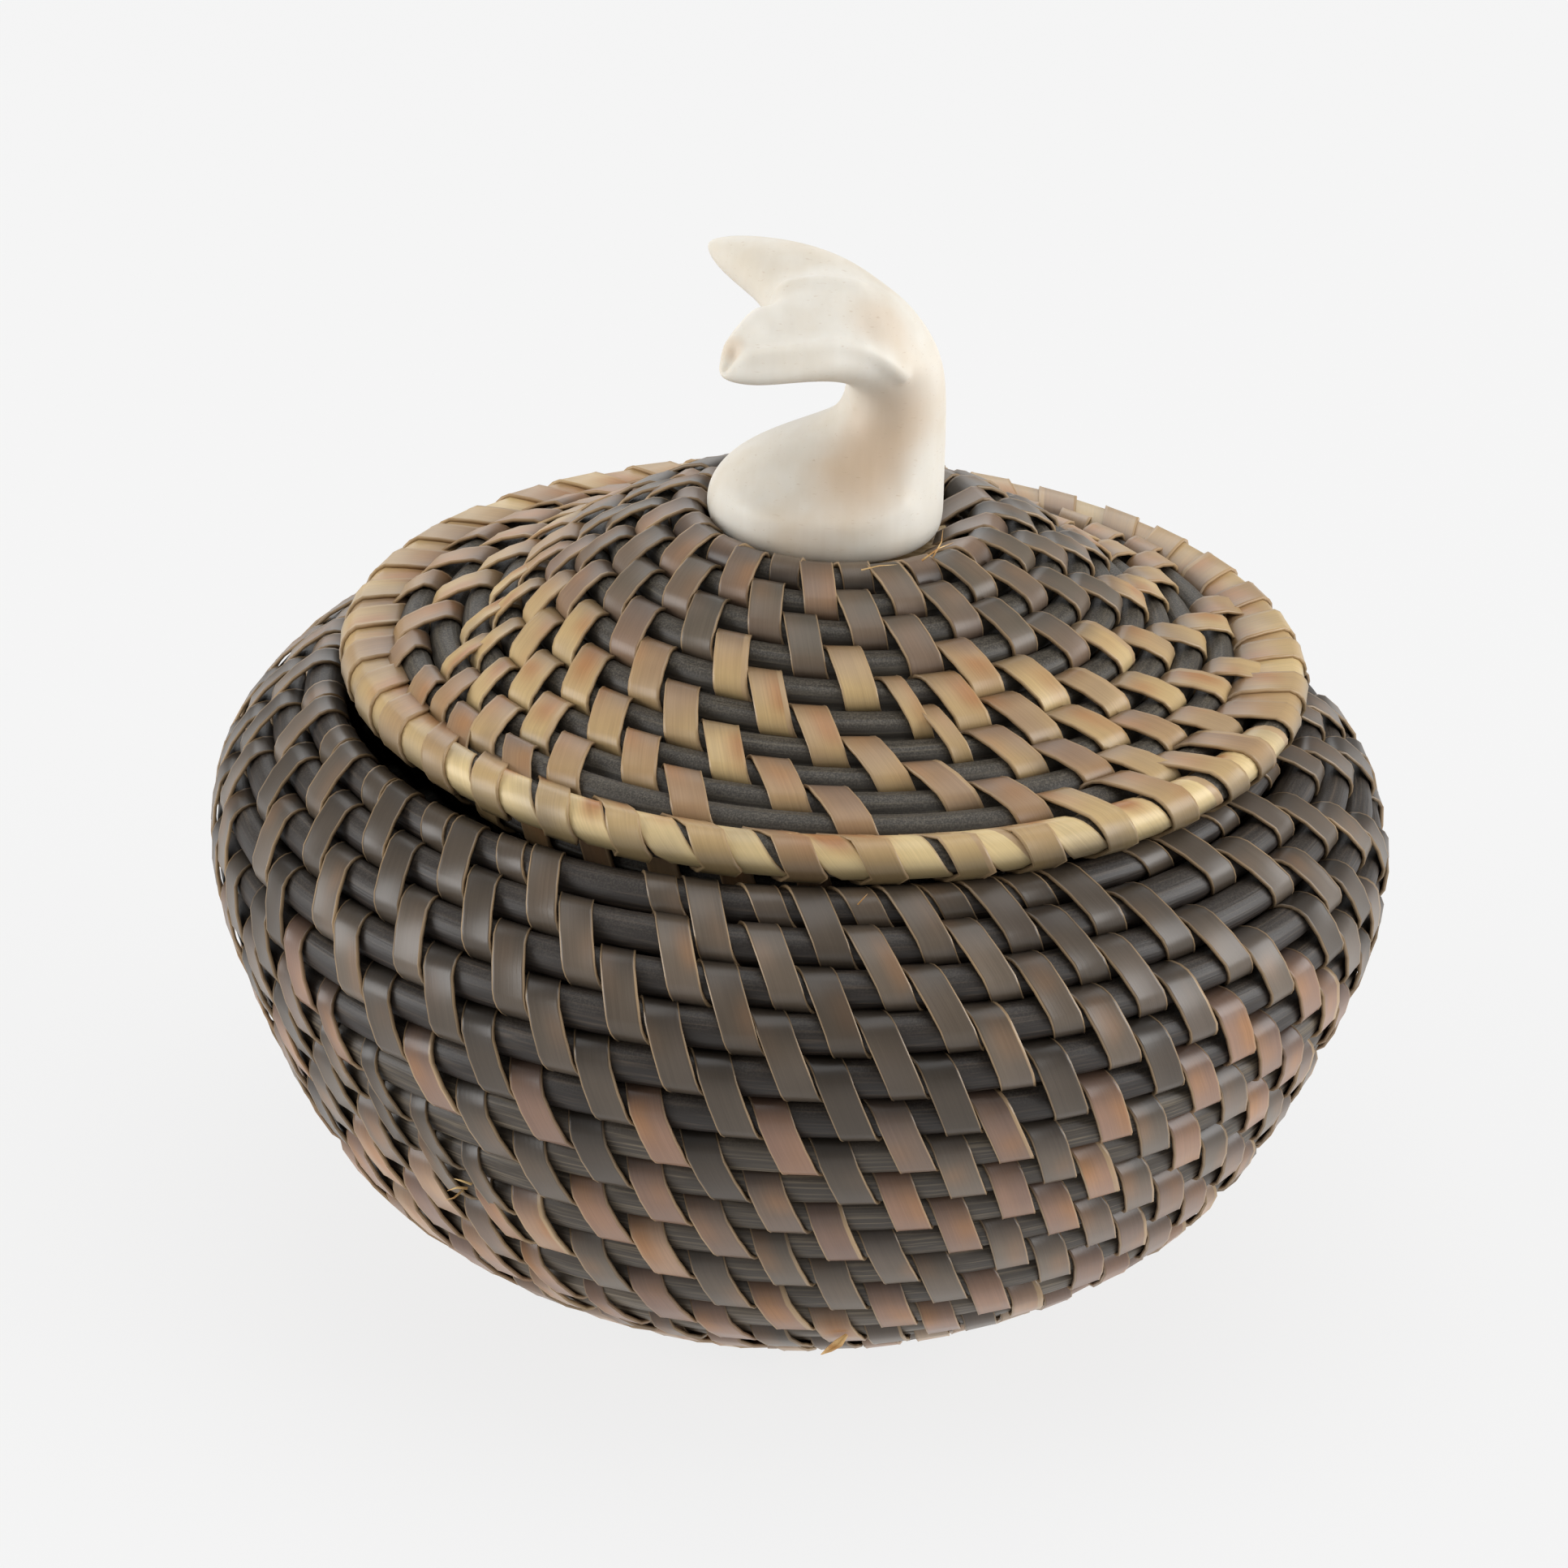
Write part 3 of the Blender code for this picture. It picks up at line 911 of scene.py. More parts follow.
@dataclass
class StripWeave(CarrierTree):
    """The geometry tree that lays a strip form on every seed and bends it round its rods."""

    def __post_init__(self) -> None:
        """Builds the tree once."""
        g = self.start("lay_strips", {
            "Seeds": "Geometry", "Strip form": "Object", "Axis": "Vector", "Wobble": "Float",
            "Random seed": "Int", "Finish": "Material"}, "Strips")
        given = g.node("NodeGroupInput").outputs
        chance = [
            g.node("FunctionNodeRandomValue", {
                2: -1.0, 3: 1.0, "Seed": g.math("ADD", given["Random seed"], float(k))}).outputs[1]
            for k in range(2)]
        slipped = self.store(g, given["Seeds"], "slip", g.times(chance[0], given["Wobble"]))
        shaded = self.store(g, slipped, "shade", chance[1])
        form = g.node("GeometryNodeObjectInfo", {"Object": given["Strip form"]}).outputs["Geometry"]
        laid = g.node("GeometryNodeInstanceOnPoints", {"Points": shaded, "Instance": form}).outputs[0]
        real = g.node("GeometryNodeRealizeInstances", {"Geometry": laid}).outputs[0]
        bent = g.node("GeometryNodeSetPosition", {"Geometry": real, "Position": self.bend(g, given["Axis"])})
        smooth = g.node("GeometryNodeSetShadeSmooth", {"Geometry": bent.outputs[0]}).outputs[0]
        ready = g.node("GeometryNodeSetMaterial", {"Geometry": smooth, "Material": given["Finish"]})
        g.node("NodeGroupOutput", {"Strips": ready.outputs[0]})

    @staticmethod
    def store(g: Graph, geometry: Socket, name: str, value: Socket) -> Socket:
        """Adds a node that stores a number under a name.

        Args:
            g: The tree's graph.
            geometry: What it is stored on.
            name: The attribute's name.
            value: The number.

        Returns:
            The geometry with the attribute.
        """
        made = g.node("GeometryNodeStoreNamedAttribute", {"Geometry": geometry, "Name": name, "Value": value})
        return made.outputs[0]

    @staticmethod
    def read(g: Graph, name: str, kind: str = "FLOAT") -> Socket:
        """Returns the socket of a named attribute."""
        return g.node("GeometryNodeInputNamedAttribute", {"Name": name}, data_type=kind).outputs[0]

    def bend(self, g: Graph, axis: Socket) -> Socket:
        """Works out where each point of a strip lies round its rods and round the basket's axis.

        Args:
            g: The tree's graph.
            axis: The place of the coil's axis.

        Returns:
            The position.
        """
        across, round_rod, above = g.split(g.node("GeometryNodeInputPosition").outputs[0])
        upper, lower = self.read(g, "upper", "FLOAT_VECTOR"), self.read(g, "lower", "FLOAT_VECTOR")
        apart = g.vector("MULTIPLY", g.vector("SUBTRACT", upper, lower), (1.0, 1.0, 0.0))
        heading_out, heading_up, _ = g.split(g.vector("NORMALIZE", apart))
        mixed = g.node("ShaderNodeMix", {0: self.read(g, "end"), 4: lower, 5: upper}, data_type="VECTOR")
        rod_radius, rod_height, girth = g.split(mixed.outputs[1])
        reach = g.math("ADD", girth, above)
        up = g.times(g.math("SINE", round_rod), reach)
        out = g.times(g.math("COSINE", round_rod), reach, self.read(g, "flat"))
        radius = g.linear(out, heading_up, g.linear(up, heading_out, rod_radius))
        height = g.math("SUBTRACT", g.linear(up, heading_up, rod_height), g.times(out, heading_out))
        sideways = g.linear(across, self.read(g, "width"), self.read(g, "slip"))
        leant = g.linear(self.read(g, "lean_share"), self.read(g, "lean"), sideways)
        stepped = g.linear(self.read(g, "step_share"), self.read(g, "step"), leant)
        angle = g.math("ADD", self.read(g, "azimuth"), g.math("DIVIDE", stepped, radius))
        towards = (g.times(radius, g.math(side, angle)) for side in ("COSINE", "SINE"))
        return g.vector("ADD", g.join(*towards, height), axis)

    def lay(self, name: str, seeds: list[Seed], form: StripForm, finish: bpy.types.Material,
            axis: Vector, chance: int, wobble: float = 0.12 * MM) -> bpy.types.Object:
        """Lays one strip on every seed and returns them as one plain piece.

        Args:
            name: The piece's name.
            seeds: The stitches.
            form: The strip's form.
            finish: The strips' material.
            axis: The place of the coil's axis.
            chance: The seed of the small differences between strips.
            wobble: How far a strip may slip sideways.

        Returns:
            The piece.
        """
        pattern = link_object(form.name, form.mesh())
        mesh = bpy.data.meshes.new(name)
        mesh.from_pydata([(0.0, 0.0, 0.0)] * len(seeds), [], [])
        for key in Seed._fields:
            give_attribute(mesh, key, np.array([getattr(seed, key) for seed in seeds]))
        values = {
            "Strip form": pattern, "Axis": axis, "Wobble": wobble, "Random seed": chance, "Finish": finish}
        woven = self.run(mesh, values, ("across", "along", "tint", "shade"))
        bpy.data.objects.remove(pattern, do_unlink=True)
        return woven


@dataclass
class RodSweep(CarrierTree):
    """The geometry tree that sweeps a rounded profile along a rod's path."""

    def __post_init__(self) -> None:
        """Builds the tree once."""
        g = self.start(
            "sweep_rod", {"Path": "Geometry", "Roundness": "Float", "Finish": "Material"}, "Rod")
        given = g.node("NodeGroupInput").outputs
        outward = StripWeave.read(g, "outward", "FLOAT_VECTOR")
        curve = g.node("GeometryNodeMeshToCurve", {"Mesh": given["Path"]}).outputs[0]
        turned = g.node("GeometryNodeSetCurveNormal", {"Curve": curve, "Normal": outward}, mode="FREE")
        square = g.node("GeometryNodeCurvePrimitiveQuadrilateral", {"Width": 2.0, "Height": 2.0}).outputs[0]
        profile = g.node(
            "GeometryNodeFilletCurve",
            {"Curve": square, "Count": 3, "Radius": given["Roundness"], "Limit Radius": True}, mode="POLY")
        swept = g.node("GeometryNodeCurveToMesh", {
            "Curve": turned.outputs[0], "Profile Curve": profile.outputs[0],
            "Scale": StripWeave.read(g, "girth"), "Fill Caps": True}).outputs[0]
        here = g.node("GeometryNodeInputPosition").outputs[0]
        from_middle = g.vector("SUBTRACT", here, StripWeave.read(g, "middle", "FLOAT_VECTOR"))
        lift = g.times(g.vector("DOT_PRODUCT", from_middle, outward), StripWeave.read(g, "squeeze"))
        moved = g.node("GeometryNodeSetPosition", {
            "Geometry": swept, "Offset": g.vector("SCALE", outward, lift)}).outputs[0]
        smooth = g.node("GeometryNodeSetShadeSmooth", {"Geometry": moved}).outputs[0]
        real = g.node("GeometryNodeRealizeInstances", {"Geometry": smooth}).outputs[0]
        ready = g.node("GeometryNodeSetMaterial", {"Geometry": real, "Material": given["Finish"]}).outputs[0]
        g.node("NodeGroupOutput", {"Rod": ready})

    def sweep(self, name: str, points: np.ndarray, outward: np.ndarray, girth: np.ndarray,
              squeeze: np.ndarray, finish: bpy.types.Material, roundness: float = 1.0,
              starts: tuple = (0,)) -> bpy.types.Object:
        """Makes one piece of rod, or several thin ones at once.

        Args:
            name: The piece's name.
            points: The rod's middle.
            outward: The direction out of the wall at each point.
            girth: The rod's radius at each point.
            squeeze: How much thicker than round it is across the wall, below zero for flat.
            finish: The rod's material.
            roundness: 1 for a round rod, less for a squarer one.
            starts: The numbers of the points where a rod starts.

        Returns:
            The piece.
        """
        mesh = bpy.data.meshes.new(name)
        edges = [(i, i + 1) for i in range(len(points) - 1) if i + 1 not in starts]
        mesh.from_pydata(points.tolist(), edges, [])
        for key, values in (("middle", points), ("outward", outward), ("girth", girth), ("squeeze", squeeze)):
            give_attribute(mesh, key, values)
        return self.run(mesh, {"Roundness": roundness, "Finish": finish})


@dataclass(frozen=True)
class RodLength:
    """One length of a coil's rod, the share of the turns where it ends, and how round it is."""

    name: str
    node: str
    end: float
    roundness: float = 1.0


class Patch(NamedTuple):
    """A part of the wall whose strips differ: its azimuth and reach in degrees, its shares of the turns."""

    azimuth: float
    reach: float
    start: float
    end: float
    change: float

    def at(self, azimuth: float, share: float) -> float:
        """Finds the change at a place on the wall, which fades out towards the patch's ends.

        Args:
            azimuth: The angle round the axis, in radians.
            share: The share of the turns.

        Returns:
            The change.
        """
        off = (degrees(azimuth) - self.azimuth + 180.0) % 360.0 - 180.0
        middle, half = 0.5 * (self.start + self.end), 0.5 * (self.end - self.start)
        return self.change * float(np.exp(-(off / self.reach) ** 2 - ((share - middle) / half) ** 4))


@dataclass(frozen=True)
class StitchPlan:
    """Where a coil's stitches lie and what tints their strips have."""

    coil: Coil
    disc_edge: Turn
    way: int
    spacing: tuple
    chains: tuple
    breadths: tuple
    leans: tuple
    chance: int
    brown: tuple
    dark_tints: tuple = (0.0, 0.24)
    brown_tints: tuple = (0.40, 0.66)
    # Patches that make the tints paler or darker: partly the strips' own tone, partly painted light and
    # shade.
    paler: tuple = ()
    steeper: tuple = ()
    crowded: float = 0.75
    one_length: tuple = (3, 11)

    ROUNDS = 14
    EVENING = 0.25
    HOLDING = 0.4
    INSERT_JITTER = (0.0, 0.25)
    DROP_JITTER = (0.9, 1.1)
    WIDTH_JITTER = (0.95, 1.0)
    LEAN_JITTER = (0.88, 1.12)
    TINT_JITTER = 0.03
    HELD_RUN_OUT = 0.85
    END_SPACE = 0.01
    NARROWEST = 1.9 * MM
    SPACE = 0.08 * MM
    FROM_MIDDLE = 1.0 / StripForm.SEEN_LENGTH

    def read(self, table: tuple, turn: float) -> float:
        """Reads a table of shares of the turns and millimetres at a number of turns."""
        shares, values = zip(*table)
        return float(np.interp(turn / self.coil.turns, shares, values)) * MM

    def gap(self, turn: float) -> float:
        """Returns the distance between neighbouring stitches, in turns."""
        return self.read(self.spacing, turn) / (tau * self.coil.at(turn).radius)

    def chain_step(self, turn: float) -> float:
        """Returns how far round a chain moves from one row to the next, in turns."""
        return self.way * self.read(self.chains, turn) / (tau * self.coil.at(turn).radius)

    def change(self, patches: tuple, turn: float) -> float:
        """Returns what the patches add up to at a number of turns."""
        return sum(patch.at(self.coil.azimuth(turn), turn / self.coil.turns) for patch in patches)

    def lean(self, turn: float) -> float:
        """Returns how far a strip runs aside from end to end."""
        return self.read(self.leans, turn) * (1.0 + self.change(self.steeper, turn))

    def crossing_shift(self, turn: float) -> float:
        """Returns how far the lean takes a strip aside on its newer rod, in turns."""
        return self.way * self.FROM_MIDDLE * self.lean(turn) / (tau * self.coil.at(turn).radius)

    def turns(self) -> np.ndarray:
        """Places the stitches row by row; each row hangs on the row before it.

        Returns:
            The stitches' places along the coil, in turns.
        """
        chance = np.random.default_rng(self.chance)
        rows = [np.arange(0.0, 1.0 + self.chain_step(0.5), self.gap(0.5))]
        held = self.coil.last_turn + self.HELD_RUN_OUT * self.coil.run_out - self.END_SPACE
        while rows[-1][0] < held:
            row = rows[-1]
            span = 1.0 + self.chain_step(float(row.mean()))
            rows.append(self.next_row(row, span, chance))
        flat = np.sort(np.concatenate(rows))
        return flat[flat < held]

    def next_row(self, row: np.ndarray, span: float, chance: np.random.Generator) -> np.ndarray:
        """Hangs one row on the one before and evens it out, clear of the places where the strips cross it.

        Args:
            row: The row before.
            span: How much of a turn a row takes.
            chance: The source of random choices.

        Returns:
            The new row.
        """
        anchors, weights = self.anchors(row, span, chance)
        places = anchors.copy()
        crossings = row + 1.0 + 2.0 * np.array([self.crossing_shift(turn) for turn in row])
        crossings = np.concatenate([crossings - span, crossings, crossings + span])
        middle = float(row.mean())
        room = (self.read(self.breadths, middle) + self.SPACE) / (tau * self.coil.at(middle).radius)
        for _ in range(self.ROUNDS):
            before = np.roll(places, 1)
            after = np.roll(places, -1)
            before[0] -= span
            after[-1] += span
            evened = self.EVENING * ((before + after) / 2 - places)
            places = places + evened + self.HOLDING * weights * (anchors - places)
            apart = places[:, None] - crossings[None, :]
            nearest = apart[np.arange(len(places)), np.abs(apart).argmin(axis=1)]
            places = places + np.copysign(np.maximum(0.0, room - np.abs(nearest)), nearest)
        places = np.sort(places)
        kept = [places[0]]
        for place in places[1:]:
            if place - kept[-1] > self.crowded * room:
                kept.append(place)
        return np.array(kept)

    def anchors(self, row: np.ndarray, span: float, chance: np.random.Generator) -> tuple:
        """Moves a row on by its span, with stitches put in or left out where the coil widens or narrows.

        Args:
            row: The row before.
            span: How much of a turn a row takes.
            chance: The source of random choices.

        Returns:
            The places, and how much each one holds: 0 where a stitch was put in, otherwise 1.
        """
        anchors = row + span
        weights = np.ones(len(row))
        wanted = max(3, round(span / self.gap(float(anchors.mean()))))
        while len(anchors) < wanted:
            gaps = np.diff(np.append(anchors, anchors[0] + span))
            k = int(np.argmax(gaps + chance.uniform(*self.INSERT_JITTER, len(gaps)) * gaps.mean()))
            anchors = np.insert(anchors, k + 1, anchors[k] + gaps[k] / 2)
            weights = np.insert(weights, k + 1, 0.0)
        while len(anchors) > wanted:
            gaps = np.diff(np.append(anchors, anchors[0] + span))
            k = int(np.argmin((gaps + np.roll(gaps, 1)) * chance.uniform(*self.DROP_JITTER, len(gaps))))
            anchors = np.delete(anchors, k)
            weights = np.delete(weights, k)
        return anchors, weights

    def widths(self, turns: np.ndarray) -> np.ndarray:
        """Finds how wide each strip can be beside its neighbours on the two rods that it passes over.

        Args:
            turns: The stitches' places along the coil.

        Returns:
            A width for each.
        """
        round_length = np.array([tau * self.coil.at(turn).radius for turn in turns])
        nearer = np.array([self.crossing_shift(turn) for turn in turns])
        crossings = np.concatenate([turns + nearer, turns - 1.0 - nearer])
        owners = np.tile(np.arange(len(turns)), 2)
        order = np.argsort(crossings)
        room = np.array([self.read(self.breadths, turn) for turn in turns]) + self.SPACE
        for left, right in zip(order, order[1:]):
            apart = crossings[right] - crossings[left]
            for owner in (owners[left], owners[right]):
                room[owner] = min(room[owner], apart * round_length[owner])
        return np.maximum(room - self.SPACE, self.NARROWEST)

    def tint_of(self, turns: np.ndarray) -> np.ndarray:
        """Gives each stitch a tint; one length of strip makes several stitches in a row.

        Args:
            turns: The stitches' places along the coil.

        Returns:
            A tint for each.
        """
        chance = np.random.default_rng(self.chance + 1)
        shares, brown_shares = zip(*self.brown)
        found = []
        while len(found) < len(turns):
            share = turns[len(found)] / self.coil.turns
            is_brown = chance.random() < np.interp(share, shares, brown_shares)
            family = self.brown_tints if is_brown else self.dark_tints
            found += [chance.uniform(*family)] * int(chance.integers(*self.one_length))
        # The patches add painted light and shade as well as tone.
        changes = np.array([self.change(self.paler, turn) for turn in turns])
        jitter = chance.normal(0.0, self.TINT_JITTER, len(turns))
        return np.array(found[:len(turns)]) + changes + jitter

    def seeds(self) -> list[tuple[float, Seed]]:
        """Works out every stitch.

        Returns:
            Each stitch with its place along the coil.
        """
        turns = self.turns()
        tints = self.tint_of(turns)
        widths = self.widths(turns)
        chance = np.random.default_rng(self.chance + 2)
        made = []
        for k, turn in enumerate(turns):
            step = (turns[k + 1] if k + 1 < len(turns) else turn + self.gap(turn)) - turn
            newer = self.coil.at(turn)
            older = self.coil.at(turn - 1.0) if turn >= 1.0 else self.disc_edge
            upper, lower = (newer, older) if self.way < 0 else (older, newer)
            distance = step * tau * newer.radius
            width = float(widths[k]) * chance.uniform(*self.WIDTH_JITTER)
            lean = self.lean(turn) * chance.uniform(*self.LEAN_JITTER)
            made.append((float(turn), Seed(
                self.coil.azimuth(turn), upper, lower, self.coil.flat(turn), width, lean, distance,
                float(tints[k]))))
        return made


@dataclass
class CoiledPart:
    """What the body and the lid share: one spiral of rod in lengths, and the strips that lash its turns."""

    sweeper: RodSweep
    weave: StripWeave
    plan: StitchPlan
    rods: tuple
    lashings: tuple
    points_per_turn: int = 90

    AXIS = Vector()

    def coil_rods(self, finishes: tuple) -> list[bpy.types.Object]:
        """Makes the coil's rod in its lengths.

        Args:
            finishes: A material for each length.

        Returns:
            The pieces.
        """
        coil = self.plan.coil
        half_step = 0.5 / COIL_STEPS
        joint = 0.02 / COIL_STEPS
        last_step = round(coil.last_turn * COIL_STEPS)
        made = []
        start = 0.0
        for part, finish in zip(self.rods, finishes):
            end = round(last_step * part.end) / COIL_STEPS + half_step - joint
            if part.end == 1.0:
                end = coil.last_turn + coil.run_out
            turns = np.linspace(start, end, max(2, round((end - start) * self.points_per_turn)))
            made.append(self.sweeper.sweep(
                part.name, np.array([coil.point(t) for t in turns]) + np.array(self.AXIS),
                np.array([coil.outward(t) for t in turns]), np.array([coil.girth(t) for t in turns]),
                np.array([coil.flat(t) - 1.0 for t in turns]), finish, part.roundness))
            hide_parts(part.node)
            start = end + 2 * joint
        return made

    def lash(self, seeds: list[tuple[float, Seed]], finish: bpy.types.Material,
             chance: int) -> list[bpy.types.Object]:
        """Lays the coil's stitches, in the pieces that the solids have.

        Args:
            seeds: The stitches, each with its place along the coil.
            finish: The strips' material.
            chance: The seed of the small differences between strips.

        Returns:
            The pieces.
        """
        form = StripForm("two_rod_strip", Reach.TWO_RODS)
        made = []
        start = 0.0
        for name, node, share in self.lashings:
            end = share * self.plan.coil.turns
            part = [seed for turn, seed in seeds if start <= turn < end]
            made.append(self.weave.lay(name, part, form, finish, self.AXIS, chance))
            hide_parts(node)
            start = end
        return made


@dataclass
class BasketBody(CoiledPart):
    """The basket's body: a spiral of rod from a small disc to the mouth, and its lashing."""

    plan: StitchPlan = StitchPlan(
        coil=Coil(
            Meridian((
                (11.1, 1.44), (19.0, 1.44), (24.6, 2.4), (33.0, 7.0), (41.9, 14.2), (46.6, 22.4),
                (50.1, 30.8), (52.6, 38.8), (52.2, 45.9), (47.4, 52.0), (42.9, 55.5)), side=1),
            pitches=(4.25 * MM, 3.65 * MM), first_step=7, taper_steps=8, flat_base=0.66, flat_turns=5.0),
        disc_edge=Turn(7.8 * MM, 1.4 * MM, 1.2 * MM),
        way=-1,
        spacing=((0.0, 6.3), (0.17, 6.8), (0.28, 7.8), (0.42, 8.6), (0.65, 8.9), (0.84, 9.3), (1.0, 9.6)),
        chains=((0.0, 3.6), (0.2, 4.4), (0.4, 4.8)),
        breadths=((0.0, 3.0), (0.3, 3.3)),
        leans=((0.0, 1.8), (0.3, 3.6)),
        chance=11,
        brown=((0.0, 0.74), (0.5, 0.72), (0.62, 0.55), (0.74, 0.4), (0.82, 0.08), (1.0, 0.0)),
        dark_tints=(0.02, 0.26),
        brown_tints=(0.32, 0.62),
        # Paler low at the front and at the right front, darker high at the front: partly the strips' own
        # tone, partly painted light from the floor and the right-hand light, and painted shade under the
        # lid's rim.
        paler=(
            Patch(-90.0, 200.0, -0.3, 0.50, 0.20), Patch(-30.0, 40.0, 0.05, 0.70, 0.12),
            Patch(-90.0, 70.0, 0.68, 1.20, -0.09)),
        steeper=(Patch(-45.0, 40.0, -0.2, 0.98, 0.4),),
        crowded=1.15,
        one_length=(1, 5))
    rods: tuple = (
        RodLength("base_rod", "base_coil_rod", 0.15, 0.55),
        RodLength("lower_wall_rod", "lower_wall_coil_rod", 0.43, 0.55),
        RodLength("belly_rod", "belly_coil_rod", 0.71, 0.65),
        RodLength("mouth_rod", "mouth_coil_rod", 1.0, 0.85))
    lashings: tuple = (
        ("base_strips", "base_lashing", 0.165), ("lower_wall_strips", "lower_wall_lashing", 0.58),
        ("upper_wall_strips", "upper_wall_lashing", 1.01))
    strip_tints: tuple = (
        (0.00, colour(72, 62, 51)), (0.24, colour(110, 97, 83)), (0.40, colour(132, 104, 87)),
        (0.60, colour(154, 118, 95)), (0.78, colour(188, 156, 124)), (1.00, colour(214, 188, 152)))
    wrap_aside: float = 4.3 * MM
    wrap_width: float = 0.95
    wrap_lean: float = 0.75

    def build(self) -> None:
        """Makes the rods and the strips and lets them ride on the basket."""
        top_finish = RodFinish("body_rod", roughness=0.5).material()
        # The lower lengths of rod are lighter towards the base: partly the rods' own paler tone, partly
        # painted light from the bright floor.
        low_finish = RodFinish(
            "body_rod_low", roughness=0.5, dark=colour(80, 70, 58), light=colour(150, 137, 116)).material()
        belly_finish = RodFinish(
            "body_rod_belly", roughness=0.5, dark=colour(58, 50, 41), light=colour(124, 111, 91)).material()
        pieces = self.coil_rods((low_finish, low_finish, belly_finish, top_finish))
        strip_finish = StripFinish(
            "body_strip", roughness=0.35, tints=self.strip_tints, gloss=0.45).material()
        seeds = self.plan.seeds()
        pieces += self.lash(seeds, strip_finish, chance=21)
        one_rod = StripForm("one_rod_strip", Reach.ONE_ROD)
        wraps = self.mouth_seeds(seeds)
        pieces.append(self.weave.lay("mouth_wraps", wraps, one_rod, strip_finish, self.AXIS, chance=23))
        for piece in pieces:
            join_body(piece, "basket")

    def mouth_seeds(self, seeds: list[tuple[float, Seed]]) -> list[Seed]:
        """Puts a short wrap of the top rod to the left of each stitch of the last row.

        Args:
            seeds: The stitches, each with its place along the coil.

        Returns:
            The wraps.
        """
        coil = self.plan.coil
        made = []
        for turn, seed in seeds:
            if turn > coil.last_turn - 1.0:
                here = turn - self.wrap_aside / (tau * seed.upper.radius)
                made.append(seed._replace(
                    azimuth=coil.azimuth(here), upper=coil.at(here), lower=coil.at(here - 1.0),
                    width=self.wrap_width * seed.width, lean=self.wrap_lean * seed.lean))
        return made


class WrapKind(NamedTuple):
    """The ranges of a rim wrap's width and lean in millimetres, and of its tint."""

    widths: tuple
    leans: tuple
    tints: tuple

    def seed(self, place: float, upper: Turn, lower: Turn, chance: np.random.Generator) -> Seed:
        """Draws one wrap.

        Args:
            place: Its place round the rim, in turns.
            upper: The inner rod that it holds.
            lower: The outer rod.
            chance: The source of random choices.

        Returns:
            The wrap.
        """
        width = chance.uniform(*self.widths) * MM
        lean = chance.uniform(*self.leans) * MM
        return Seed(tau * place, upper, lower, 1.0, width, lean, 0.0, chance.uniform(*self.tints))


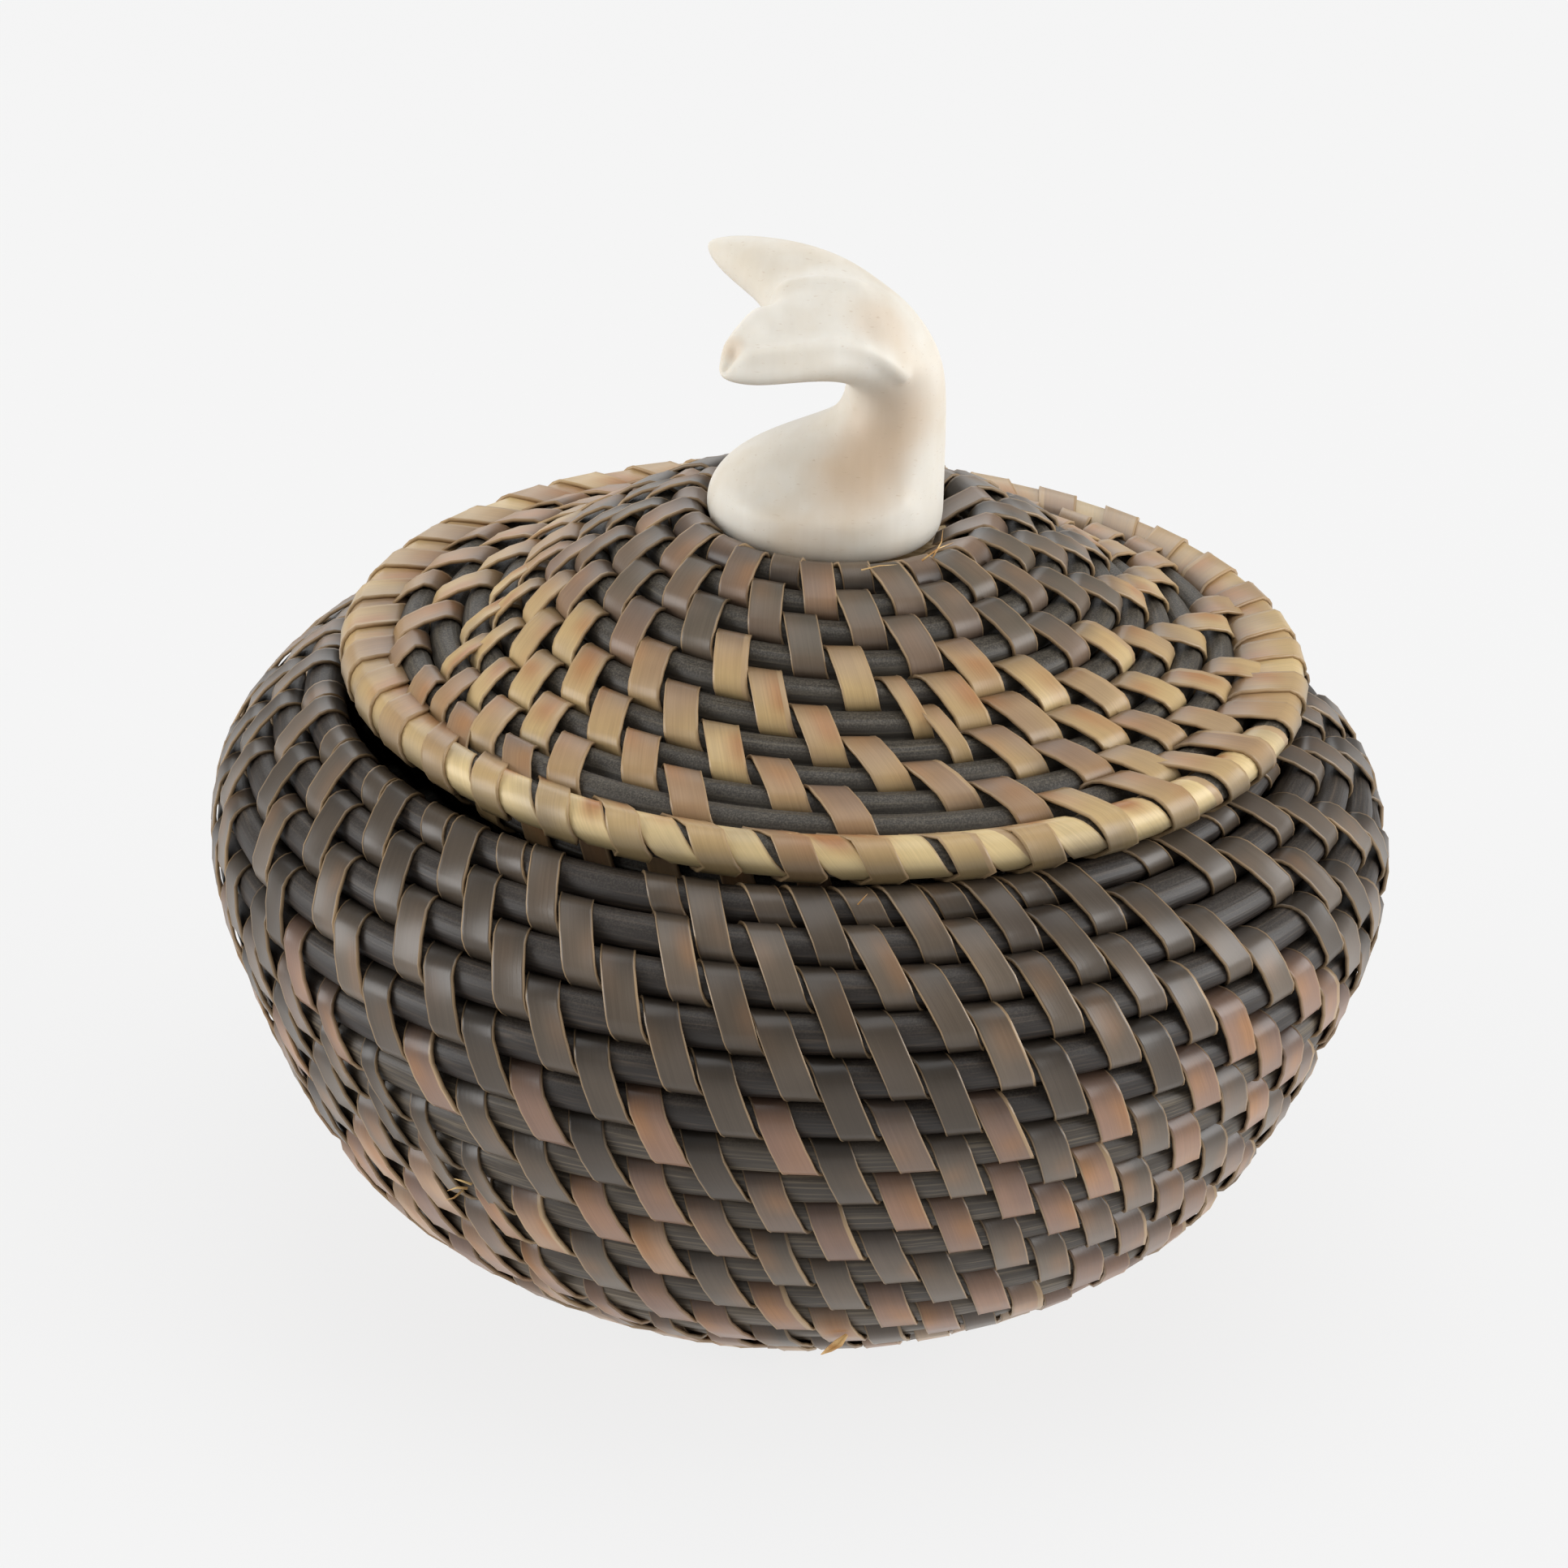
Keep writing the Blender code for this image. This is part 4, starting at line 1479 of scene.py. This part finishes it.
@dataclass
class BasketLid(CoiledPart):
    """The lid: a second spiral, its wrapped rim, and the flange that drops into the mouth."""

    plan: StitchPlan = StitchPlan(
        coil=Coil(
            Meridian((
                (12.9, 72.5), (19.0, 69.7), (24.5, 66.2), (29.0, 63.1), (33.5, 61.1), (39.2, 59.7)), side=-1),
            pitches=(3.12 * MM, 3.12 * MM), first_step=10, taper_steps=14, taper_share=0.12, run_out=1.0),
        disc_edge=Turn(10.4 * MM, 70.3 * MM, 0.9 * MM),
        way=1,
        spacing=((0.0, 5.9), (0.23, 8.0), (0.45, 8.7), (0.63, 9.9), (0.8, 10.9), (1.0, 12.3)),
        chains=((0.0, 3.3), (0.4, 4.0), (0.7, 4.8), (1.0, 5.2)),
        breadths=((0.0, 2.9), (0.3, 3.3), (1.0, 3.6)),
        leans=((0.0, 1.2), (0.35, 2.0), (0.6, 3.0), (0.8, 4.0)),
        chance=31,
        brown=((0.0, 0.0), (0.40, 0.0), (0.50, 1.0), (1.0, 1.0)),
        brown_tints=(0.36, 0.58),
        # Paler on the left and on the right: partly the strips' own tone, partly painted light.
        paler=(Patch(-160.0, 50.0, 0.4, 1.2, 0.14), Patch(-20.0, 50.0, 0.3, 1.2, 0.06)))
    rods: tuple = (
        RodLength("lid_inner_rod", "lid_inner_coil_rod", 0.46),
        RodLength("lid_outer_rod", "lid_outer_coil_rod", 1.0))
    lashings: tuple = (
        ("lid_inner_strips", "lid_inner_lashing", 0.46), ("lid_outer_strips", "lid_outer_lashing", 1.2))
    rim_ring: Turn = Turn(42.6 * MM, 59.1 * MM, 1.7 * MM)
    rim_ends: tuple = (0.002, 0.998)
    rim_points: int = 200
    rim_pairs: int = 38
    pair_jitter: tuple = (-0.1, 0.1)
    straw_from: float = 0.60
    straw_to: float = 0.96
    brown_wrap: WrapKind = WrapKind((3.8, 4.3), (4.6, 6.2), (0.46, 0.64))
    narrow_wrap: WrapKind = WrapKind((3.2, 3.6), (4.6, 6.2), (0.46, 0.64))
    straw_wrap: WrapKind = WrapKind((4.1, 4.7), (3.6, 5.4), (0.86, 1.0))
    tan_wrap: WrapKind = WrapKind((4.2, 4.8), (4.4, 6.4), (0.54, 0.72))
    flange_ring: Turn = Turn(36.9 * MM, 56.1 * MM, 1.3 * MM)
    flange_ends: tuple = (0.0, 1.98)
    flange_pitch: float = 2.73 * MM
    flange_points: int = 180
    flange_strips: int = 36
    flange_strip: tuple = (3.0 * MM, 2.0 * MM, 6.4 * MM)
    flange_tints: tuple = (0.3, 0.6)

    AXIS = LID_SHIFT

    def build(self) -> None:
        """Makes the lid's rods, strips and wraps, and lets them ride on the lid."""
        rod_finish = RodFinish(
            "lid_rod", roughness=0.55, dark=colour(46, 41, 34), light=colour(88, 80, 66), dust_share=0.4,
            axis=self.AXIS.x).material()
        # The lid's strips get stronger painted shade at their ends.
        strip_finish = StripFinish(
            "lid_strip", roughness=0.38, along_shift=0.22, dark_ends=0.30).material()
        pieces = self.coil_rods((rod_finish, rod_finish))
        pieces += self.lash(self.plan.seeds(), strip_finish, chance=41)
        pieces += self.rim(rod_finish, strip_finish)
        pieces += self.flange(rod_finish, strip_finish)
        for piece in pieces:
            join_body(piece, "lid")

    def ring_rod(self, name: str, ring: Turn, turns: np.ndarray, drops: np.ndarray,
                 finish: bpy.types.Material) -> bpy.types.Object:
        """Makes a rod that runs round the lid's axis.

        Args:
            name: The piece's name.
            ring: The rod's middle and radius at its start.
            turns: The place of each of its points round the axis, in turns.
            drops: How far each point lies below the start.
            finish: The rod's material.

        Returns:
            The piece.
        """
        angles = tau * turns
        around = np.stack([np.cos(angles), np.sin(angles), np.zeros_like(angles)], axis=1)
        points = around * ring.radius + np.outer(ring.height - drops, (0.0, 0.0, 1.0)) + np.array(self.AXIS)
        return self.sweeper.sweep(
            name, points, around, np.full(len(turns), ring.girth), np.zeros(len(turns)), finish)

    def rod_inside(self, place: float) -> Turn:
        """Finds the thin end of the coil's rod that a rim wrap holds beside the rim's rod.

        Args:
            place: The wrap's place round the rim, in turns.

        Returns:
            The rod there.
        """
        coil = self.plan.coil
        last = coil.last_turn - (coil.last_turn + coil.first_step / COIL_STEPS - place) % 1.0
        return coil.at(last + 1.0)

    def rim(self, rod_finish: bpy.types.Material,
            strip_finish: bpy.types.Material) -> list[bpy.types.Object]:
        """Makes the rim's rod and its wraps, by turns a brown one and a straw one or, elsewhere, a tan one.

        The brown and the tan ones also hold the thin end of the coil's rod; the straw ones don't.

        Args:
            rod_finish: The rods' material.
            strip_finish: The strips' material.

        Returns:
            The pieces.
        """
        rim = self.rim_ring
        turns = np.linspace(*self.rim_ends, self.rim_points)
        rod = self.ring_rod("rim_rod", rim, turns, np.zeros_like(turns), rod_finish)
        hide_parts("lid_rim_rod")
        chance = np.random.default_rng(51)
        outside = rim._replace(radius=rim.radius + 1 * MM)
        brown, tan, straw = [], [], []
        shifts = chance.uniform(*self.pair_jitter, self.rim_pairs)
        for place in (np.arange(self.rim_pairs) + shifts) / self.rim_pairs:
            kind = self.narrow_wrap if self.straw_from < place < self.straw_to else self.brown_wrap
            brown.append(kind.seed(place, self.rod_inside(place), rim, chance))
            between = place + 0.5 / self.rim_pairs
            if self.straw_from < between < self.straw_to:
                straw.append(self.straw_wrap.seed(between, rim, outside, chance))
            else:
                tan.append(self.tan_wrap.seed(between, self.rod_inside(between), rim, chance))
        upper_layer = StripForm("rim_brown_strip", Reach.TWO_RODS, clearance=0.22 * MM, bulge=0.10 * MM)
        lower_layer = StripForm(
            "rim_tan_strip", Reach.TWO_RODS, thickness=0.25 * MM, clearance=0.0, bulge=0.06 * MM)
        single_layer = StripForm("rim_straw_strip", Reach.ONE_ROD, thickness=0.25 * MM, clearance=0.0)
        lay = self.weave.lay
        wraps = lay("rim_brown_wraps", brown, upper_layer, strip_finish, self.AXIS, chance=52)
        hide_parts("lid_rim_wrapping")
        tan_wraps = lay("rim_tan_wraps", tan, lower_layer, strip_finish, self.AXIS, chance=53)
        straw_wraps = lay("rim_straw_wraps", straw, single_layer, strip_finish, self.AXIS, chance=54)
        return [rod, wraps, tan_wraps, straw_wraps]

    def flange(self, rod_finish: bpy.types.Material,
               strip_finish: bpy.types.Material) -> list[bpy.types.Object]:
        """Makes the flange's two turns of rod and the strips round them.

        Args:
            rod_finish: The rods' material.
            strip_finish: The strips' material.

        Returns:
            The pieces.
        """
        upper = self.flange_ring
        lower = upper._replace(height=upper.height - self.flange_pitch)
        turns = np.linspace(*self.flange_ends, self.flange_points)
        drops = self.flange_pitch * np.clip(turns - 0.5, 0.0, 1.0)
        rod = self.ring_rod("flange_rod", upper, turns, drops, rod_finish)
        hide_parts("lid_flange_coil")
        chance = np.random.default_rng(61)
        count = self.flange_strips
        seeds = [
            Seed(tau * k / count, upper, lower, 1.0, *self.flange_strip, chance.uniform(*self.flange_tints))
            for k in range(count)]
        form = StripForm("flange_strip", Reach.TWO_RODS)
        strips = self.weave.lay("flange_strips", seeds, form, strip_finish, self.AXIS, chance=62)
        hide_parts("lid_flange_lashing")
        return [rod, strips]


@dataclass
class LooseFibres:
    """Frayed ends of strips that stand out from the wall and beside the handle, each with its half width."""

    wall: tuple = (
        (((6.2, -43.0, 11.9), (5.5, -42.9, 10.9), (4.7, -42.6, 10.0), (4.0, -42.2, 9.2)), 0.45),
        (((-28.0, -41.0, 24.0), (-28.9, -41.3, 24.2), (-29.8, -41.1, 23.7)), 0.16),
        (((-28.4, -40.6, 23.6), (-29.2, -41.1, 23.0), (-30.0, -41.2, 22.8)), 0.12),
        (((-27.6, -41.5, 24.7), (-28.5, -41.8, 25.2), (-29.2, -41.5, 25.2)), 0.14),
        (((5.2, -45.4, 56.1), (5.6, -45.7, 56.8), (6.0, -45.8, 57.4)), 0.07))
    lid: tuple = (
        (((9.8, -12.3, 74.1), (11.2, -11.3, 74.9), (12.6, -9.9, 75.0)), 0.10),
        (((10.8, -11.4, 74.1), (11.5, -10.4, 75.2), (11.6, -9.4, 76.0)), 0.08),
        (((4.4, -14.6, 73.9), (6.0, -14.6, 74.4), (7.6, -13.7, 74.2)), 0.08))
    widths: tuple = (0.35, 1.0, 0.7, 0.1)
    squeeze: float = -0.6
    outward: tuple = (0.0, -1.0, 0.0)

    def build(self, sweeper: RodSweep) -> None:
        """Makes the fibres of the body and those of the lid.

        Args:
            sweeper: The tree that makes rods.
        """
        finish = BoneFinish(
            "loose_fibre", roughness=0.5, pale=colour(222, 188, 128), brown=colour(176, 126, 66)).material()
        for name, fibres, body in (
                ("loose_wall_fibres", self.wall, "basket"), ("loose_lid_fibres", self.lid, "lid")):
            points = MM * np.array([point for path, _ in fibres for point in path])
            girth = MM * np.array(
                [half * share for path, half in fibres for share in self.widths[-len(path):]])
            starts = tuple(np.cumsum([0] + [len(path) for path, _ in fibres[:-1]]))
            outward = np.tile(self.outward, (len(points), 1))
            squeeze = np.full(len(points), self.squeeze)
            join_body(sweeper.sweep(name, points, outward, girth, squeeze, finish, starts=starts), body)


@dataclass(frozen=True)
class Stroke:
    """A ridge, or a groove where its height is below zero, that was carved along a line."""

    path: tuple
    width: float
    height: float

    def lift(self, points: np.ndarray) -> np.ndarray:
        """Finds how far the stroke lifts each point of the surface.

        Args:
            points: The surface's points, in the same frame and unit as the path.

        Returns:
            A height for each.
        """
        nearest = np.full(len(points), np.inf)
        path = np.array(self.path)
        for near, far in zip(path, path[1:]):
            run = far - near
            share = np.clip((points - near) @ run / (run @ run), 0.0, 1.0)
            nearest = np.minimum(nearest, np.linalg.norm(points - near - np.outer(share, run), axis=1))
        return self.height * np.exp(-(nearest / self.width) ** 2)


@dataclass
class WhaleTail:
    """The carved handle, lofted through rings of points from its foot to the notch between its flukes."""

    rings: tuple = (
        ((-7.6, 0.0), (7.0, 0.0), 7.6, 0.0, 0.0),
        ((-11.3, 0.0), (10.3, 0.0), 10.8, 0.0, 0.0),
        ((-12.0, 1.8), (10.8, 1.6), 11.3, 0.0, 0.0),
        ((-11.8, 4.2), (10.7, 4.2), 10.6, 0.0, 0.0),
        ((-9.4, 7.0), (10.6, 7.6), 8.2, 0.0, 0.0),
        ((-4.4, 9.0), (10.4, 10.6), 6.4, 0.0, 0.0),
        ((-0.8, 10.2), (10.2, 13.4), 5.6, 0.0, 0.0),
        ((0.9, 13.2), (9.8, 16.4), 5.4, 0.0, 0.0),
        ((0.8, 16.4), (8.6, 19.2), 6.8, 0.8, 0.3),
        ((-0.9, 17.9), (6.2, 22.1), 9.2, 1.8, 0.7),
        ((-3.2, 18.9), (2.9, 24.0), 12.0, 3.2, 1.1),
        ((-5.0, 19.4), (-1.2, 24.3), 13.9, 5.0, 1.4),
        ((-5.9, 20.7), (-4.3, 23.7), 13.9, 6.8, 1.5))
    strokes: tuple = (
        Stroke((
            (-7.6, -11.6, 20.5), (-4.7, -10.9, 20.9), (-2.4, -10.0, 21.0), (-0.1, -9.0, 21.1),
            (2.3, -8.1, 20.5), (4.2, -7.4, 19.3), (5.9, -6.2, 17.4)), 0.8, 0.5),
        Stroke(((-5.8, -8.4, 22.3), (-3.5, -8.0, 22.5), (-0.8, -6.9, 22.6), (2.0, -5.8, 22.0)), 1.7, -0.45),
        Stroke(((-7.3, -4.8, 21.8), (-8.2, -7.4, 21.4), (-9.0, -9.6, 21.0)), 1.5, 0.75),
        Stroke(((-7.0, -1.4, 22.2), (-7.0, -2.8, 22.0)), 1.3, -0.7),
        Stroke(((-9.4, -11.0, 20.9), (-10.2, -12.4, 20.3)), 0.7, -0.9),
        Stroke(((-6.4, -1.5, 22.3), (-4.7, -0.5, 23.5), (-1.8, -0.4, 23.9), (1.4, -0.2, 23.7)), 1.0, 0.45),
        Stroke(((-5.0, 3.0, 23.9), (-2.8, 3.1, 24.3), (0.2, 3.2, 24.0), (2.0, 3.1, 23.4)), 2.4, -0.55),
        Stroke(((0.9, -0.8, 13.9), (1.3, -2.7, 13.7), (1.6, -3.4, 13.1)), 0.35, 0.16),
        Stroke((
            (-8.3, -6.4, 4.4), (-6.3, -8.2, 4.2), (-4.0, -9.3, 4.1), (-0.8, -9.9, 4.1), (2.4, -9.6, 4.2),
            (4.6, -8.6, 4.6), (6.5, -7.2, 5.3)), 1.1, 0.25),
        Stroke((
            (-7.0, -6.0, 6.2), (-4.2, -7.6, 6.3), (-0.9, -8.4, 6.5), (2.3, -8.1, 6.9), (4.5, -7.2, 7.6)),
            2.2, -0.3))
    ring_points: int = 12
    smoothing: int = 4
    foot: float = 71.9 * MM
    turn: float = radians(4.6)
    tilt: float = radians(7.0)
    sweep_shares: tuple = (0.0, 0.70, 1.0, 0.85)
    edge_power: float = 0.5
    stains: tuple = (
        ((2.4, -7.1, 8.5), 5.5, 0.50), ((5.0, -5.6, 12.5), 5.0, 0.40), ((4.0, -4.5, 21.6), 4.0, 0.30),
        ((-9.2, -10.4, 20.8), 1.4, 0.28), ((-2.5, -10.5, 2.0), 5.0, 0.20), ((8.0, -5.0, 15.0), 5.0, 0.15))

    def point(self, ring: tuple, k: int) -> tuple[float, float, float]:
        """Works out the k-th point of a ring; point 0 is its right or upper end.

        Args:
            ring: Its left or lower end, its other end, its half width, and how far its sides sweep back and
                droop.
            k: The point's number.

        Returns:
            The point, from the middle of the foot.
        """
        (left_x, left_z), (right_x, right_z), half_width, sweep, droop = ring
        quarter = self.ring_points // 4
        angle = tau * k / self.ring_points
        across = cos(angle)
        aside = abs(sin(angle))
        y = half_width * sin(angle)
        x_back = z_down = 0.0
        if sweep:
            across = copysign(abs(across) ** self.edge_power, across)
            from_middle = quarter - abs(quarter - k % (2 * quarter))
            x_back = sweep * self.sweep_shares[from_middle] + self.turn * y
            z_down = droop * aside ** 2 - self.tilt * y
        share = (1 + across) / 2
        x = left_x + (right_x - left_x) * share - x_back
        z = left_z + (right_z - left_z) * share - z_down
        return x * MM, y * MM, z * MM

    def carve(self, mesh: bpy.types.Mesh, middle: np.ndarray) -> None:
        """Lifts and sinks the surface along the strokes.

        Args:
            mesh: The handle's mesh.
            middle: The middle of the foot.
        """
        count = len(mesh.vertices)
        places, normals = np.empty(3 * count), np.empty(3 * count)
        mesh.vertices.foreach_get("co", places)
        mesh.vertices.foreach_get("normal", normals)
        places, normals = places.reshape(-1, 3), normals.reshape(-1, 3)
        from_middle = (places - middle) / MM
        lifts = sum(stroke.lift(from_middle) for stroke in self.strokes)
        mesh.vertices.foreach_set("co", (places + normals * lifts[:, None] * MM).ravel())
        mesh.update()

    def build(self) -> None:
        """Makes the handle and lets it ride on the lid."""
        shape = bmesh.new()
        count = self.ring_points
        rows = [[shape.verts.new(self.point(ring, k)) for k in range(count)] for ring in self.rings]
        for low, high in zip(rows, rows[1:]):
            for k in range(count):
                following = (k + 1) % count
                shape.faces.new((low[k], low[following], high[following], high[k]))
        shape.faces.new(rows[0][::-1])
        last = rows[-1]
        half = count // 2
        for k in range(half // 2):
            for near, far in ((k, k + 1), (-k - 1, -k)):
                corners = [last[near], last[far], last[half - far], last[half - near]]
                shape.faces.new(dict.fromkeys(corners))
        bmesh.ops.recalc_face_normals(shape, faces=shape.faces[:])
        middle = LID_SHIFT + Vector((0.0, 0.0, self.foot))
        bmesh.ops.translate(shape, verts=shape.verts[:], vec=middle)
        mesh = bpy.data.meshes.new("whale_tail")
        shape.to_mesh(mesh)
        shape.free()
        mesh.shade_smooth()
        cage = link_object("whale_tail_cage", mesh)
        smooth = cage.modifiers.new("carved", "SUBSURF")
        smooth.levels = self.smoothing
        smooth.render_levels = self.smoothing
        piece = link_object("whale_tail", evaluated_mesh(cage, "whale_tail"))
        self.carve(piece.data, np.array(middle))
        stains = tuple(
            Stain(tuple(middle + Vector(place) * MM), radius * MM, strength)
            for place, radius, strength in self.stains)
        finish = IvoryFinish("carved_ivory", roughness=0.5, stains=stains).material()
        piece.data.materials.append(finish)
        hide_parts("finial")
        join_body(piece, "lid")


def dress_discs(nodes: dict) -> None:
    """Gives the solids that stay, the two starter discs and the peg, their bone finish.

    Args:
        nodes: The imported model's nodes.
    """
    finish = BoneFinish("starter_bone", roughness=0.45).material()
    for name in ("base_starter_disc", "lid_starter_disc", "finial_peg"):
        nodes[name].data.materials.clear()
        nodes[name].data.materials.append(finish)
        LOG.info("%s dressed", name)


@dataclass
class Studio:
    """The pale floor, the soft light and the camera."""

    distance: float = 490.6 * MM
    elevation: float = radians(24.17)
    target: tuple = (-1.7 * MM, 0.0, 45.5 * MM)
    aim_height: float = 58.2 * MM
    roll: float = radians(2.5)
    lens: float = 121.3
    floor_size: float = 6.0
    white: float = 0.10
    glow: float = 0.80
    sky: float = 0.38
    sensor: float = 36.0
    lights: tuple = (
        ("top_softbox", (0.1, 0.0, 1.2), (0.0, 0.0, 0.04), 1.0, 6.0),
        ("left_softbox", (-1.25, -0.25, 0.35), (0.0, 0.0, 0.03), 0.8, 12.0),
        ("right_softbox", (1.25, -0.1, 0.25), (0.0, 0.0, 0.03), 1.0, 18.0),
        ("back_softbox", (-0.2, 1.3, 0.6), (0.0, 0.0, 0.05), 1.0, 4.5))

    def build(self, floor_height: float) -> None:
        """Sets the stage.

        Args:
            floor_height: The height of the visual model's lowest point.
        """
        self.camera()
        self.floor(floor_height)
        for light in self.lights:
            self.light(*light)
        world = bpy.data.worlds.new("studio")
        world.use_nodes = True
        backdrop = world.node_tree.nodes["Background"].inputs
        backdrop["Color"].default_value = (1.0, 1.0, 1.0, 1.0)
        backdrop["Strength"].default_value = self.sky
        scene = bpy.context.scene
        scene.world = world
        scene.view_settings.view_transform = "Standard"

    def camera(self) -> None:
        """Makes the camera, which leans a little to one side."""
        back = self.distance * cos(self.elevation)
        place = Vector((0.0, -back, self.aim_height + self.distance * sin(self.elevation)))
        forward = (Vector(self.target) - place).normalized()
        right = forward.cross(Vector((0.0, 0.0, 1.0))).normalized()
        up = right.cross(forward)
        rolled_right = cos(self.roll) * right + sin(self.roll) * up
        rolled_up = cos(self.roll) * up - sin(self.roll) * right
        data = bpy.data.cameras.new("camera")
        data.lens = self.lens
        data.sensor_width = self.sensor
        made = link_object("camera", data)
        axes = Matrix((rolled_right, rolled_up, -forward)).transposed().to_4x4()
        made.matrix_world = Matrix.Translation(place) @ axes
        bpy.context.scene.camera = made

    def floor(self, height: float) -> None:
        """Lays the floor and gives it its white.

        Args:
            height: The floor's height.
        """
        half = self.floor_size / 2
        mesh = bpy.data.meshes.new("floor")
        corners_of_floor = [(-half, -half), (half, -half), (half, half), (-half, half)]
        mesh.from_pydata([(x, y, height) for x, y in corners_of_floor], [], [(0, 1, 2, 3)])
        made = link_object("floor", mesh)
        surface = bpy.data.materials.new("floor_white")
        surface.use_nodes = True
        shader = surface.node_tree.nodes["Principled BSDF"]
        shader.inputs["Base Color"].default_value = (self.white, self.white, self.white, 1.0)
        shader.inputs["Roughness"].default_value = 0.9
        shader.inputs["Specular IOR Level"].default_value = 0.0
        shader.inputs["Emission Color"].default_value = (1.0, 1.0, 1.0, 1.0)
        shader.inputs["Emission Strength"].default_value = self.glow
        made.data.materials.append(surface)
        made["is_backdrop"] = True

    @staticmethod
    def light(name: str, place: tuple, target: tuple, size: float, watts: float) -> None:
        """Hangs one softbox.

        Args:
            name: The light's name.
            place: Where it hangs.
            target: The point that it faces.
            size: Its side.
            watts: Its power.
        """
        data = bpy.data.lights.new(name, "AREA")
        data.shape = "SQUARE"
        data.size = size
        data.energy = watts
        made = link_object(name, data)
        aim = (Vector(target) - Vector(place)).to_track_quat("-Z", "Y")
        made.matrix_world = Matrix.Translation(place) @ aim.to_matrix().to_4x4()


def corners(bounds: tuple) -> list[list[float]]:
    """Turns a box's corners into plain lists."""
    return [list(corner) for corner in bounds]


def main() -> None:
    """Builds the pieces in order."""
    logging.basicConfig(level=logging.INFO, format="%(message)s")
    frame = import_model()
    sweeper = RodSweep()
    weave = StripWeave()
    BasketBody(sweeper, weave).build()
    BasketLid(sweeper, weave).build()
    WhaleTail().build()
    LooseFibres().build(sweeper)
    dress_discs(frame["nodes"])
    visual_box = corners(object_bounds())
    Studio().build(visual_box[0][2])


if __name__ == "__main__":
    main()
